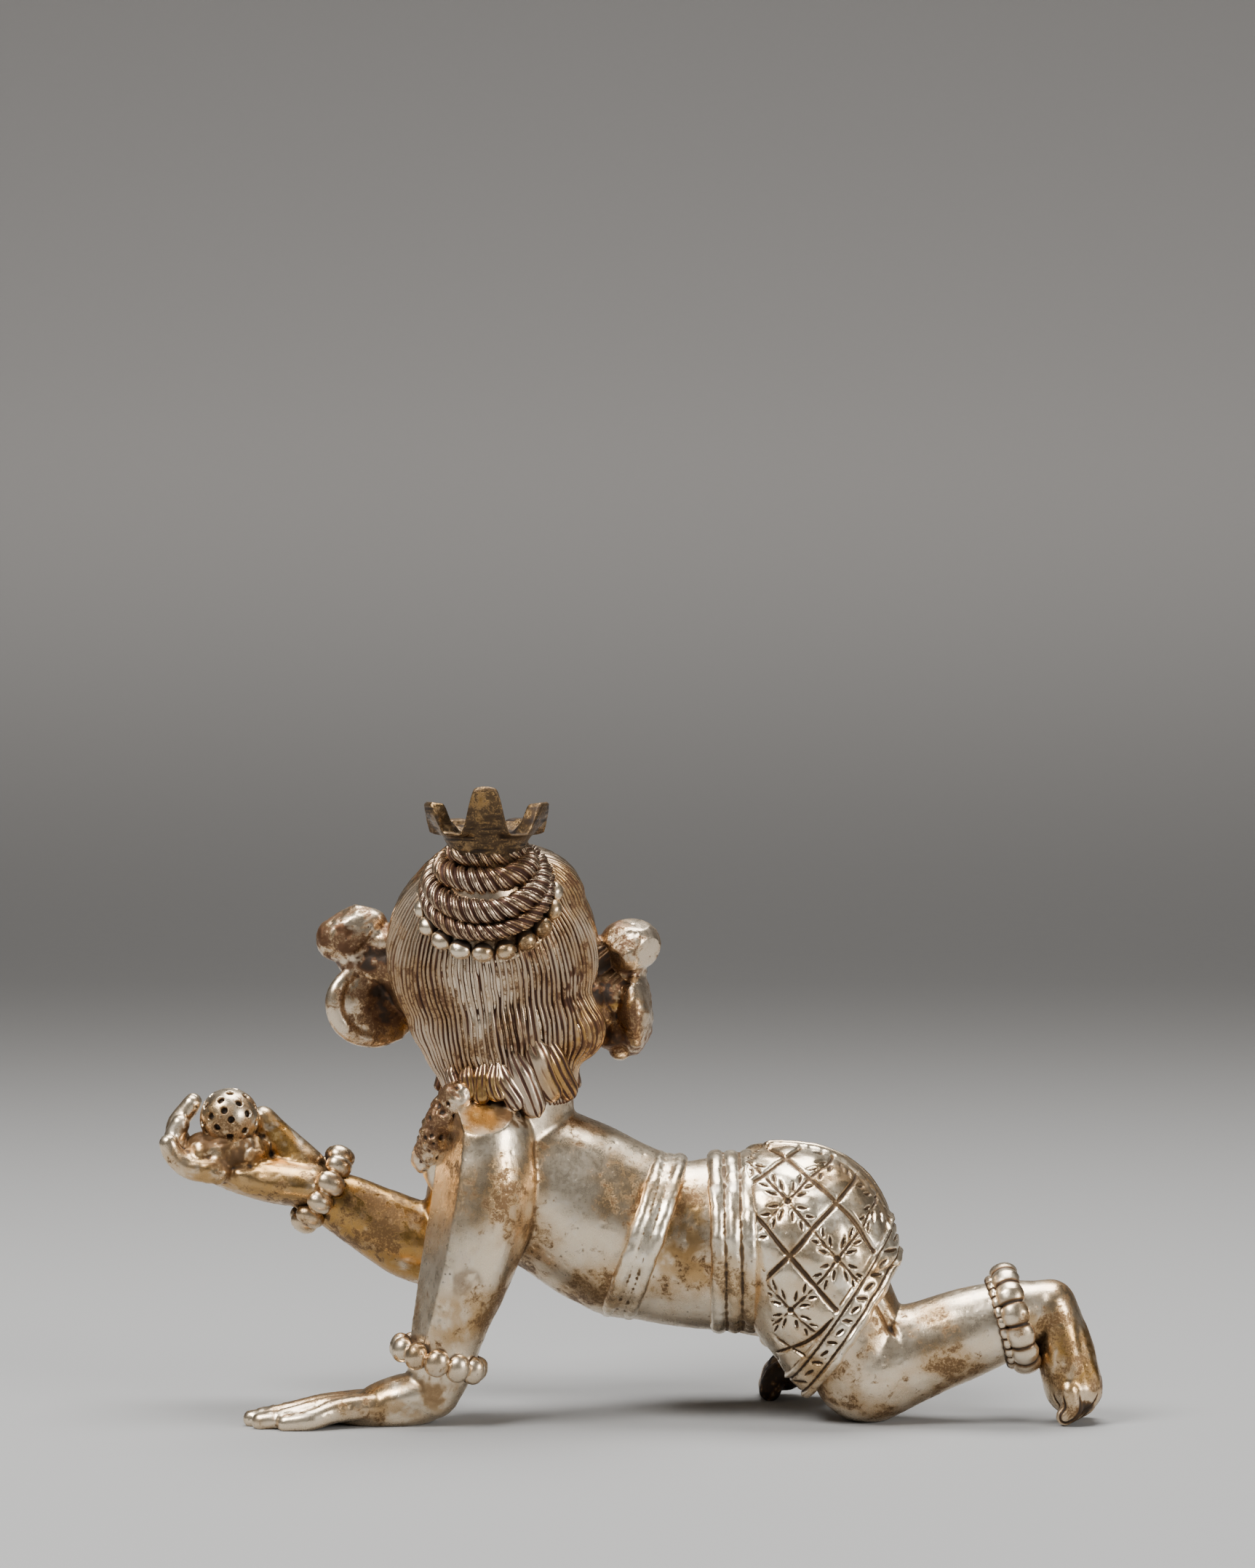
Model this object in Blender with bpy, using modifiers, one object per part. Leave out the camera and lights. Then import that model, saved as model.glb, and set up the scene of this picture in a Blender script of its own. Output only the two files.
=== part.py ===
"""A small cast silver figure: a crawling child with an elephant head, a sweet ball in its raised hand."""

import math

import bmesh
import bpy
from mathutils import Matrix, Vector

# Sizes in metres. The figure crawls towards -X, its face looks to +Y and it stands on Z = 0.
FIGURE_LENGTH = 0.0751

HEAD_WIDTH = 0.0166
HEAD_DEPTH = 0.0160
HEAD_HEIGHT = 0.0174
NECK_RADIUS = 0.0051
TRUNK_ROOT_RADIUS = 0.0029
TRUNK_TIP_RADIUS = 0.0013
TUSK_RADIUS = 0.00065
TUSK_LENGTH = 0.0036
EAR_FLAP_WIDTH = 0.0078
EAR_FLAP_HEIGHT = 0.0070
EAR_FLAP_THICKNESS = 0.0024
EAR_ROLL_LENGTH = 0.0060
EAR_ROLL_RADIUS = 0.0020

KNOT_RING_RADIUS = 0.0051
KNOT_BEAD_RADIUS = 0.00078
KNOT_BEADS = 18
KNOT_HEIGHT = 0.0039
COIL_RADIUS = 0.00095
CROWN_RIM_RADIUS = 0.0049
CROWN_FOOT_RADIUS = 0.0018
CROWN_HEIGHT = 0.0059
CROWN_WALL = 0.0011
CROWN_NOTCH_RADIUS = 0.0017
CROWN_PRONGS = 5

TORSO_RADIUS = 0.0072
TORSO_FLATNESS = 0.88
SHOULDER_RADIUS = 0.0042
WRIST_RADIUS = 0.0026
FINGER_RADIUS = 0.00088
HIP_RADIUS = 0.0067
KNEE_RADIUS = 0.0044
ANKLE_RADIUS = 0.0029
CLOTH_THICKNESS = 0.00045
HEM_WIDTH = 0.0022

BALL_RADIUS = 0.0024
BRACELET_BEAD_RADIUS = 0.00094
BRACELET_RADIUS = 0.0033
BRACELET_BEADS = 11
ANKLET_RADIUS = 0.0037
FAR_ANKLET_RADIUS = 0.0031
BELT_RIDGE_RADIUS = 0.00042
GARLAND_BEAD_RADIUS = 0.00140

FLOOR_TRIM = 0.00012
VOXEL = 0.00024
TRIANGLES = 9700

# Points of the pose are given for a figure 75.1 long and keep their share of the real length.
SHARE = FIGURE_LENGTH / 75.1

UP = Vector((0.0, 0.0, 1.0))
FORMS = []


def at(x, y, z):
    return Vector((x, y, z)) * SHARE


def clear_scene():
    for found in list(bpy.data.objects):
        bpy.data.objects.remove(found, do_unlink=True)


def new_collection(name):
    made = bpy.data.collections.new(name)
    bpy.context.scene.collection.children.link(made)
    return made


def silver():
    made = bpy.data.materials.new("worn_silver")
    made.use_nodes = True
    shader = made.node_tree.nodes["Principled BSDF"]
    shader.inputs["Base Color"].default_value = (0.60, 0.54, 0.44, 1.0)
    shader.inputs["Metallic"].default_value = 1.0
    shader.inputs["Roughness"].default_value = 0.32
    return made


def keep(mesh, name, collection):
    made = bpy.data.objects.new(name, mesh)
    collection.objects.link(made)
    FORMS.append(made)
    return made


def facing(direction):
    """A turn that takes +Z to the direction, with local X kept level."""
    return direction.to_track_quat("Z", "Y").to_matrix().to_4x4()


def bulb(name, centre, radii, collection, turn=None, rings=14):
    """An ellipsoid."""
    mesh = bpy.data.meshes.new(name)
    shape = bmesh.new()
    placed = Matrix.Translation(centre) @ (turn or Matrix.Identity(4)) @ Matrix.Diagonal((*radii, 1.0))
    bmesh.ops.create_uvsphere(shape, u_segments=2 * rings, v_segments=rings, radius=1.0, matrix=placed)
    shape.to_mesh(mesh)
    shape.free()
    return keep(mesh, name, collection)


def limb(name, stations, collection, flatness=1.0, ends=True):
    """A round-ended limb through stations of (point, radius), its depth along Y taken to flatness."""
    curve = bpy.data.curves.new(name, "CURVE")
    curve.dimensions = "3D"
    curve.bevel_depth = 1.0
    curve.bevel_resolution = 5
    curve.resolution_u = 6
    curve.use_fill_caps = True
    spline = curve.splines.new("BEZIER")
    spline.bezier_points.add(len(stations) - 1)
    for knot, (point, radius) in zip(spline.bezier_points, stations):
        knot.co = (point.x, point.y / flatness, point.z)
        knot.radius = radius
        knot.handle_left_type = "AUTO"
        knot.handle_right_type = "AUTO"
    spline.radius_interpolation = "CARDINAL"
    holder = bpy.data.objects.new(name, curve)
    collection.objects.link(holder)
    mesh = bpy.data.meshes.new_from_object(holder.evaluated_get(bpy.context.evaluated_depsgraph_get()))
    bpy.data.objects.remove(holder, do_unlink=True)
    bpy.data.curves.remove(curve)
    mesh.transform(Matrix.Diagonal((1.0, flatness, 1.0, 1.0)))
    shape = bmesh.new()
    shape.from_mesh(mesh)
    bmesh.ops.remove_doubles(shape, verts=shape.verts, dist=1e-7)
    bmesh.ops.recalc_face_normals(shape, faces=shape.faces)
    shape.to_mesh(mesh)
    shape.free()
    made = keep(mesh, name, collection)
    if ends:
        for number, (point, radius) in enumerate((stations[0], stations[-1])):
            bulb(f"{name}_end_{number}", point, (radius, radius * flatness, radius), collection)
    return made


def hoop(name, centre, axis, across, deep, thickness, collection):
    """A ring round the axis, with half sizes across (in its plane, off Y) and deep (along Y)."""
    segments = 40
    points = []
    turn = facing(axis)
    for number in range(segments):
        angle = math.tau * number / segments
        points.append(centre + (turn @ Vector((across * math.cos(angle), deep * math.sin(angle), 0.0))))
    curve = bpy.data.curves.new(name, "CURVE")
    curve.dimensions = "3D"
    curve.bevel_depth = thickness
    curve.bevel_resolution = 2
    spline = curve.splines.new("POLY")
    spline.points.add(segments - 1)
    for knot, point in zip(spline.points, points):
        knot.co = (*point, 1.0)
    spline.use_cyclic_u = True
    holder = bpy.data.objects.new(name, curve)
    collection.objects.link(holder)
    mesh = bpy.data.meshes.new_from_object(holder.evaluated_get(bpy.context.evaluated_depsgraph_get()))
    bpy.data.objects.remove(holder, do_unlink=True)
    bpy.data.curves.remove(curve)
    return keep(mesh, name, collection)


def beads(name, centre, axis, radius, bead_radius, count, collection, flatness=1.0):
    """A string of beads round the axis."""
    turn = facing(axis)
    for number in range(count):
        angle = math.tau * (number + 0.5) / count
        offset = turn @ Vector((radius * math.cos(angle), radius * flatness * math.sin(angle), 0.0))
        bulb(f"{name}_{number}", centre + offset, (bead_radius,) * 3, collection, rings=8)


def trim(made, point, outward):
    """Cuts a form off at a plane and closes it."""
    shape = bmesh.new()
    shape.from_mesh(made.data)
    geometry = shape.verts[:] + shape.edges[:] + shape.faces[:]
    bmesh.ops.bisect_plane(shape, geom=geometry, plane_co=point, plane_no=outward, clear_outer=True)
    open_edges = [edge for edge in shape.edges if edge.is_boundary]
    bmesh.ops.holes_fill(shape, edges=open_edges)
    bmesh.ops.recalc_face_normals(shape, faces=shape.faces)
    shape.to_mesh(made.data)
    shape.free()


def torso(forms):
    waist = TORSO_RADIUS * 0.91
    stations = [
        (at(-12.4, -0.2, 20.6), TORSO_RADIUS * 0.58),
        (at(-9.4, -0.2, 19.2), TORSO_RADIUS * 0.84),
        (at(-5.4, -0.2, 17.5), TORSO_RADIUS * 0.91),
        (at(-1.0, -0.2, 15.1), TORSO_RADIUS * 0.95),
        (at(3.2, -0.2, 13.8), waist),
        (at(7.4, -0.1, 13.6), TORSO_RADIUS * 0.95),
        (at(12.0, 0.0, 13.8), TORSO_RADIUS),
    ]
    limb("torso", stations, forms, TORSO_FLATNESS)
    bulb("belly", at(0.4, -0.2, 13.2), (TORSO_RADIUS * 0.95, TORSO_RADIUS * 0.84, TORSO_RADIUS * 0.77),
         forms)
    limb("neck", [(at(-9.6, -0.1, 20.0), NECK_RADIUS * 1.05), (at(-9.4, 0.1, 26.0), NECK_RADIUS),
                  (at(-9.9, 0.8, 31.5), NECK_RADIUS * 1.34)], forms)


def head(forms):
    centre = at(-10.8, 1.2, 36.7)
    size = (HEAD_WIDTH / 2, HEAD_DEPTH / 2, HEAD_HEIGHT / 2)
    bulb("skull", centre, size, forms, rings=20)
    bulb("crown_hair", centre + at(0.4, -0.6, 4.2), (size[0] * 0.83, size[1] * 0.80, size[2] * 0.53), forms)
    bulb("nape", centre + at(0.8, -0.7, -5.0), (size[0] * 0.90, size[1] * 0.76, size[2] * 0.56), forms)
    bulb("side_hair", centre + at(5.4, -0.8, -6.0), (size[0] * 0.42, size[1] * 0.5, size[2] * 0.34), forms)
    # The locks end in a flared fringe over the shoulders.
    for number in range(9):
        turn = math.radians(200 + 20 * number)
        spot = at(-9.5, -0.2, 25.9) + Vector((math.cos(turn), math.sin(turn), 0.0)) * NECK_RADIUS * 0.80
        tip = spot + at(0.7 * math.cos(turn), 0.9 * math.sin(turn), -1.7 - 0.5 * (number % 2))
        limb(f"lock_{number}", [(spot + at(0, 0, 3.0), 1.2 * SHARE), (spot, 1.25 * SHARE),
                                (tip, 0.8 * SHARE)], forms)
    # Brow, cheeks, trunk and tusks look to +Y.
    for side in (-1, 1):
        bulb(f"brow_{side}", centre + at(2.8 * side, 5.4, 3.4), (3.6 * SHARE, 2.4 * SHARE, 3.4 * SHARE),
             forms)
        bulb(f"cheek_{side}", centre + at(3.6 * side, 5.4, -3.2), (3.0 * SHARE, 2.6 * SHARE, 3.4 * SHARE),
             forms)
        bulb(f"eye_{side}", centre + at(4.1 * side, 6.6, 0.6), (1.1 * SHARE, 0.7 * SHARE, 0.7 * SHARE),
             forms, rings=8)
        root = centre + at(3.0 * side, 7.0, -4.6)
        reach = TUSK_LENGTH if side < 0 else TUSK_LENGTH * 0.45
        limb(f"tusk_{side}", [(root, TUSK_RADIUS * 1.25), (root + Vector((0.1 * side, 0.72, -0.68)) * reach,
                              TUSK_RADIUS)], forms)
    trunk = [
        (centre + at(0.0, 5.4, 1.4), TRUNK_ROOT_RADIUS),
        (centre + at(0.0, 8.2, -2.0), TRUNK_ROOT_RADIUS * 0.88),
        (centre + at(0.2, 9.4, -6.2), TRUNK_ROOT_RADIUS * 0.72),
        (centre + at(0.4, 9.2, -10.2), TRUNK_ROOT_RADIUS * 0.6),
        (centre + at(-0.4, 8.9, -13.0), TRUNK_TIP_RADIUS * 1.15),
        (centre + at(-2.4, 8.7, -13.9), TRUNK_TIP_RADIUS),
        (centre + at(-3.4, 8.6, -12.3), TRUNK_TIP_RADIUS * 0.9),
    ]
    limb("trunk", trunk, forms)


def ears(forms):
    roll = (EAR_ROLL_LENGTH / 2, EAR_ROLL_RADIUS * 0.95, EAR_ROLL_RADIUS)
    bulb("left_roll", at(-22.0, 2.4, 38.1), roll, forms, Matrix.Rotation(math.radians(-26), 4, "Y"))
    limb("left_root", [(at(-16.5, 1.8, 38.0), 1.6 * SHARE), (at(-20.6, 2.2, 37.2), 1.3 * SHARE)], forms)
    flap = (EAR_FLAP_WIDTH / 2, EAR_FLAP_THICKNESS / 2, EAR_FLAP_HEIGHT / 2)
    bulb("left_flap", at(-20.0, 3.0, 32.6), flap, forms, Matrix.Rotation(math.radians(24), 4, "Z"))
    outward = Matrix.Rotation(math.radians(24), 3, "Z") @ Vector((0.0, -1.0, 0.0))
    hoop("left_rim", at(-20.0, 3.0, 32.6), outward,
         flap[0] * 0.86, flap[2] * 0.86, EAR_FLAP_THICKNESS * 0.42, forms)
    limb("left_web", [(at(-16.2, 2.4, 34.2), 3.0 * SHARE), (at(-18.6, 2.8, 35.4), 2.2 * SHARE),
                      (at(-21.6, 2.6, 36.1), 1.6 * SHARE)], forms)
    limb("left_ridge", [(at(-17.6, 1.6, 34.6), 0.9 * SHARE), (at(-23.4, 1.4, 34.5), 0.9 * SHARE)], forms)
    knob = (EAR_ROLL_LENGTH * 0.41, EAR_ROLL_RADIUS * 1.25, EAR_ROLL_RADIUS * 1.06)
    bulb("right_roll", at(0.15, 2.0, 37.2), knob, forms)
    limb("right_root", [(at(-5.0, 1.6, 36.6), 1.8 * SHARE), (at(-0.6, 2.0, 36.4), 1.3 * SHARE)], forms)
    lobe = (EAR_FLAP_THICKNESS * 0.62, EAR_FLAP_WIDTH * 0.48, EAR_FLAP_HEIGHT * 0.5)
    bulb("right_flap", at(0.45, 3.4, 31.8), lobe, forms)
    limb("right_web", [(at(-4.2, 2.6, 32.4), 3.4 * SHARE), (at(-1.8, 3.2, 33.4), 2.8 * SHARE),
                       (at(0.1, 3.0, 35.0), 1.4 * SHARE)],
         forms)
    lower = (EAR_FLAP_THICKNESS * 0.95, EAR_FLAP_WIDTH * 0.28, EAR_FLAP_HEIGHT * 0.28)
    bulb("right_lobe", at(-1.3, 3.0, 30.7), lower, forms)
    limb("right_tip", [(at(0.1, 3.0, 29.8), 1.2 * SHARE), (at(-0.7, 3.0, 28.8), 0.9 * SHARE)], forms)


def knot_and_crown(forms, cutters):
    base = at(-11.0, -3.8, 41.1)
    lean = Vector((-0.08, -0.75, 0.66)).normalized()
    beads("knot_bead", base, lean, KNOT_RING_RADIUS, KNOT_BEAD_RADIUS, KNOT_BEADS, forms)
    hoop("knot_band", base - lean * KNOT_BEAD_RADIUS * 1.1, lean, KNOT_RING_RADIUS * 1.02,
         KNOT_RING_RADIUS * 1.02,
         KNOT_BEAD_RADIUS * 0.5, forms)
    top = base + at(-0.2, -0.1, 0.0) + UP * KNOT_HEIGHT
    limb("knot", [(base, KNOT_RING_RADIUS * 0.92), (base.lerp(top, 0.55), KNOT_RING_RADIUS * 0.78),
                  (top, KNOT_RING_RADIUS * 0.5)], forms)
    coils = ((0.12, 0.93, 0.74), (0.30, 0.82, 1.0), (0.58, 0.60, 1.05), (0.82, 0.44, 0.9))
    for number, (share, spread, thick) in enumerate(coils):
        axis = lean.lerp(UP, share).normalized()
        hoop(f"coil_{number}", base.lerp(top, share) + axis * COIL_RADIUS * 0.7, axis,
             KNOT_RING_RADIUS * spread, KNOT_RING_RADIUS * spread, COIL_RADIUS * thick, forms)
    # The crown is turned as a flared cup, then notched between its prongs.
    rise = CROWN_HEIGHT
    profile = [
        (0.0, 0.0),
        (CROWN_FOOT_RADIUS * 1.05, 0.0),
        (CROWN_FOOT_RADIUS, rise * 0.16),
        (CROWN_RIM_RADIUS * 0.68, rise * 0.44),
        (CROWN_RIM_RADIUS * 0.86, rise * 0.62),
        (CROWN_RIM_RADIUS, rise * 0.84),
        (CROWN_RIM_RADIUS * 0.98, rise),
        (CROWN_RIM_RADIUS - CROWN_WALL, rise),
        (CROWN_RIM_RADIUS * 0.86 - CROWN_WALL, rise * 0.78),
        (CROWN_RIM_RADIUS * 0.68 - CROWN_WALL, rise * 0.66),
        (0.0, rise * 0.62),
    ]
    foot = top + at(0.1, -0.4, -2.0)
    mesh = bpy.data.meshes.new("crown")
    mesh.from_pydata([(r, 0.0, z) for r, z in profile], [(i, i + 1) for i in range(len(profile) - 1)], [])
    crown = bpy.data.objects.new("crown", mesh)
    forms.objects.link(crown)
    screw = crown.modifiers.new("turned", "SCREW")
    screw.steps = 48
    screw.render_steps = 48
    screw.use_merge_vertices = True
    screw.merge_threshold = 1e-6
    screw.use_normal_flip = False
    turned = bpy.data.meshes.new_from_object(crown.evaluated_get(bpy.context.evaluated_depsgraph_get()))
    bpy.data.objects.remove(crown, do_unlink=True)
    shape = bmesh.new()
    shape.from_mesh(turned)
    bmesh.ops.remove_doubles(shape, verts=shape.verts, dist=1e-6)
    bmesh.ops.recalc_face_normals(shape, faces=shape.faces)
    shape.to_mesh(turned)
    shape.free()
    turned.transform(Matrix.Translation(foot))
    cup = keep(turned, "crown", forms)
    for number in range(CROWN_PRONGS):
        angle = math.tau * (number + 0.5) / CROWN_PRONGS - math.pi / 2
        outward = Vector((math.cos(angle), math.sin(angle), 0.0))
        spot = foot + UP * rise * 1.08 + outward * CROWN_RIM_RADIUS * 0.85
        cutter_mesh = bpy.data.meshes.new("notch")
        notch = bmesh.new()
        placed = Matrix.Translation(spot) @ facing(outward) @ Matrix.Diagonal((1.05, 1.5, 1.0, 1.0))
        bmesh.ops.create_cone(notch, cap_ends=True, segments=20, radius1=CROWN_NOTCH_RADIUS * 0.7,
                              radius2=CROWN_NOTCH_RADIUS, depth=CROWN_RIM_RADIUS, matrix=placed)
        notch.to_mesh(cutter_mesh)
        notch.free()
        cutter = bpy.data.objects.new(f"notch_{number}", cutter_mesh)
        cutters.objects.link(cutter)
        cutter.hide_render = True
        cutter.display_type = "WIRE"
        cut = cup.modifiers.new(f"notch_{number}", "BOOLEAN")
        cut.object = cutter
        cut.operation = "DIFFERENCE"
        cut.solver = "EXACT"
    notched = bpy.data.meshes.new_from_object(cup.evaluated_get(bpy.context.evaluated_depsgraph_get()))
    cup.modifiers.clear()
    cup.data = notched
    # The prong towards the nape stands a little higher and leans out.
    front = foot + UP * rise + Vector((0.0, -CROWN_RIM_RADIUS + CROWN_WALL * 0.5, 0.0))
    limb("crown_prong", [(front - UP * rise * 0.3, CROWN_WALL * 0.95),
                         (front + UP * rise * 0.09, CROWN_WALL * 0.84)], forms)


def near_arm(forms):
    stations = [
        (at(-11.3, -4.4, 22.0), SHOULDER_RADIUS * 0.93),
        (at(-11.4, -5.0, 18.0), SHOULDER_RADIUS),
        (at(-12.8, -5.5, 12.4), SHOULDER_RADIUS * 0.90),
        (at(-14.2, -5.8, 7.4), WRIST_RADIUS * 1.14),
        (at(-14.8, -5.9, 4.4), WRIST_RADIUS),
        (at(-15.4, -6.0, 2.8), WRIST_RADIUS * 0.88),
    ]
    limb("near_arm", stations, forms)
    beads("near_bracelet", at(-14.9, -5.8, 5.3), Vector((0.29, 0.0, 0.957)), BRACELET_RADIUS,
          BRACELET_BEAD_RADIUS,
          BRACELET_BEADS, forms)
    hoop("near_cord", at(-14.9, -5.8, 5.3), Vector((0.29, 0.0, 0.957)), BRACELET_RADIUS, BRACELET_RADIUS,
         BRACELET_BEAD_RADIUS * 0.6, forms)
    slope = Matrix.Rotation(math.radians(-12), 4, "Y")
    bulb("palm", at(-19.2, -5.5, 1.25), (4.9 * SHARE, 2.6 * SHARE, 1.6 * SHARE), forms)
    bulb("palm_back", at(-17.5, -5.8, 2.4), (4.2 * SHARE, 2.7 * SHARE, 1.7 * SHARE), forms, slope)
    tips = ((-26.6, -9.2), (-28.6, -8.2), (-29.4, -6.7), (-28.6, -5.2))
    for number, (x, y) in enumerate(tips):
        root = at(-19.0, -7.3 + 1.15 * number, 1.75)
        middle = root.lerp(at(x, y, 0.7), 0.5) + at(0.0, 0.0, 0.25)
        tip = at(x, y, 0.66)
        limb(f"finger_{number}", [(root, FINGER_RADIUS * 1.15), (middle, FINGER_RADIUS * 1.05),
                                  (tip, FINGER_RADIUS * 0.9)], forms)
    limb("thumb", [(at(-16.4, -4.6, 1.4), 1.2 * SHARE), (at(-20.4, -3.2, 0.9), FINGER_RADIUS),
                   (at(-23.0, -3.0, 0.7), FINGER_RADIUS * 0.9)], forms)


def far_arm(forms):
    limb("far_upper_arm", [(at(-11.6, 4.4, 20.6), SHOULDER_RADIUS * 0.95),
                           (at(-12.6, 5.6, 16.0), SHOULDER_RADIUS * 0.9),
                           (at(-13.6, 6.2, 12.4), SHOULDER_RADIUS * 0.8)], forms)
    stations = [
        (at(-13.4, 6.2, 12.3), SHOULDER_RADIUS * 0.8),
        (at(-17.0, 6.2, 13.1), WRIST_RADIUS * 1.27),
        (at(-20.0, 6.2, 14.5), WRIST_RADIUS * 1.12),
        (at(-22.7, 6.1, 16.0), WRIST_RADIUS * 0.96),
        (at(-25.2, 6.0, 17.2), WRIST_RADIUS * 0.80),
    ]
    limb("far_forearm", stations, forms)
    axis = Vector((-0.86, -0.12, 0.50)).normalized()
    beads("far_bracelet", at(-24.6, 6.1, 17.3), axis, BRACELET_RADIUS * 0.94, BRACELET_BEAD_RADIUS,
          BRACELET_BEADS, forms)
    hoop("far_cord", at(-24.6, 6.1, 17.3), axis, BRACELET_RADIUS * 0.94, BRACELET_RADIUS * 0.94,
         BRACELET_BEAD_RADIUS * 0.6, forms)
    limb("far_palm", [(at(-25.6, 6.0, 17.6), 1.9 * SHARE), (at(-29.0, 5.9, 18.1), 1.9 * SHARE),
                      (at(-32.4, 5.8, 18.9), 1.6 * SHARE),
                      (at(-34.6, 5.7, 19.9), 1.3 * SHARE)], forms, 1.8)
    for number in range(4):
        y = 3.3 + 1.55 * number
        rise = min(number, 2) / 2
        limb(f"held_finger_{number}", [(at(-32.8, y, 19.0), 1.15 * SHARE),
                                       (at(-35.4, y, 19.5 + 0.6 * rise), 1.05 * SHARE),
                                       (at(-36.5, y, 20.5 + 1.4 * rise), 0.95 * SHARE),
                                       (at(-36.7 + 1.6 * rise, y, 21.2 + 2.9 * rise), 0.9 * SHARE)], forms)
    limb("held_thumb", [(at(-26.0, 6.4, 19.0), 1.9 * SHARE), (at(-27.8, 6.8, 20.9), 1.6 * SHARE),
                        (at(-29.4, 7.0, 22.8), 1.2 * SHARE)], forms)
    ball = at(-32.0, 5.3, 23.1)
    bulb("ball", ball, (BALL_RADIUS,) * 3, forms)
    bulb("finger_web", at(-34.4, 5.4, 20.8), (1.8 * SHARE, 2.6 * SHARE, 1.9 * SHARE), forms)
    bulb("ball_seat", ball - UP * BALL_RADIUS * 1.1, (3.4 * SHARE, 2.6 * SHARE, 2.2 * SHARE), forms)


def near_leg(forms):
    stations = [
        (at(13.5, -2.4, 14.1), HIP_RADIUS * 0.95),
        (at(15.5, -3.4, 9.8), HIP_RADIUS * 0.82),
        (at(18.7, -4.0, 4.6), KNEE_RADIUS),
    ]
    limb("near_thigh", stations, forms)
    shin = [
        (at(18.8, -4.0, 4.35), KNEE_RADIUS),
        (at(23.0, -4.2, 5.75), KNEE_RADIUS * 0.86),
        (at(27.2, -4.4, 7.3), KNEE_RADIUS * 0.79),
        (at(30.6, -4.6, 8.5), ANKLE_RADIUS),
        (at(32.6, -4.7, 9.0), ANKLE_RADIUS * 0.8),
    ]
    limb("near_shin", shin, forms)
    anklet = at(30.1, -4.6, 8.2)
    axis = Vector((0.965, 0.0, 0.26))
    beads("near_anklet", anklet, axis, ANKLET_RADIUS, BRACELET_BEAD_RADIUS * 0.95, BRACELET_BEADS + 3,
          forms)
    hoop("near_anklet_cord", anklet, axis, ANKLET_RADIUS, ANKLET_RADIUS, BRACELET_BEAD_RADIUS * 0.7, forms)
    foot = [
        (at(33.1, -4.7, 9.3), 2.0 * SHARE),
        (at(34.3, -4.8, 6.0), 2.2 * SHARE),
        (at(35.2, -4.9, 2.6), 2.0 * SHARE),
    ]
    limb("near_foot", foot, forms, 1.2)
    for number in range(5):
        y = -7.0 + 1.0 * number
        tip = at(34.5 + 0.1 * number, y, 0.85 + 0.08 * number)
        limb(f"near_toe_{number}", [(at(35.9, y, 3.0), 1.05 * SHARE), (at(36.0, y, 1.3), 1.0 * SHARE),
                                    (tip, 0.92 * SHARE)], forms)


def far_leg(forms):
    stations = [
        (at(13.5, 2.4, 14.2), HIP_RADIUS * 0.95),
        (at(9.6, 5.0, 13.4), HIP_RADIUS * 0.80),
        (at(5.2, 6.8, 12.0), KNEE_RADIUS * 0.98),
    ]
    limb("far_thigh", stations, forms)
    limb("far_shin", [(at(5.2, 6.8, 11.8), KNEE_RADIUS * 0.95), (at(9.2, 7.2, 9.0), KNEE_RADIUS * 0.78),
                      (at(13.2, 7.5, 6.8), ANKLE_RADIUS * 0.84),
                      (at(15.0, 7.6, 5.0), ANKLE_RADIUS * 0.72)], forms)
    anklet = at(13.2, 7.5, 7.6)
    axis = Vector((0.80, 0.05, -0.60)).normalized()
    beads("far_anklet", anklet, axis, FAR_ANKLET_RADIUS, BRACELET_BEAD_RADIUS * 0.85,
          BRACELET_BEADS + 2, forms)
    hoop("far_anklet_cord", anklet, axis, FAR_ANKLET_RADIUS, FAR_ANKLET_RADIUS,
         BRACELET_BEAD_RADIUS * 0.6, forms)
    limb("far_foot", [(at(15.8, 7.8, 4.6), 2.0 * SHARE), (at(13.9, 8.1, 3.1), 1.8 * SHARE),
                      (at(12.7, 8.3, 2.3), 1.6 * SHARE)], forms,
         1.25)
    for number in range(5):
        y = 6.7 + 0.85 * number
        limb(f"far_toe_{number}", [(at(13.2, y, 2.4), 1.0 * SHARE), (at(12.0, y, 2.2), 1.0 * SHARE),
                                   (at(11.4, y, 0.95), 0.95 * SHARE)], forms)


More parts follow.
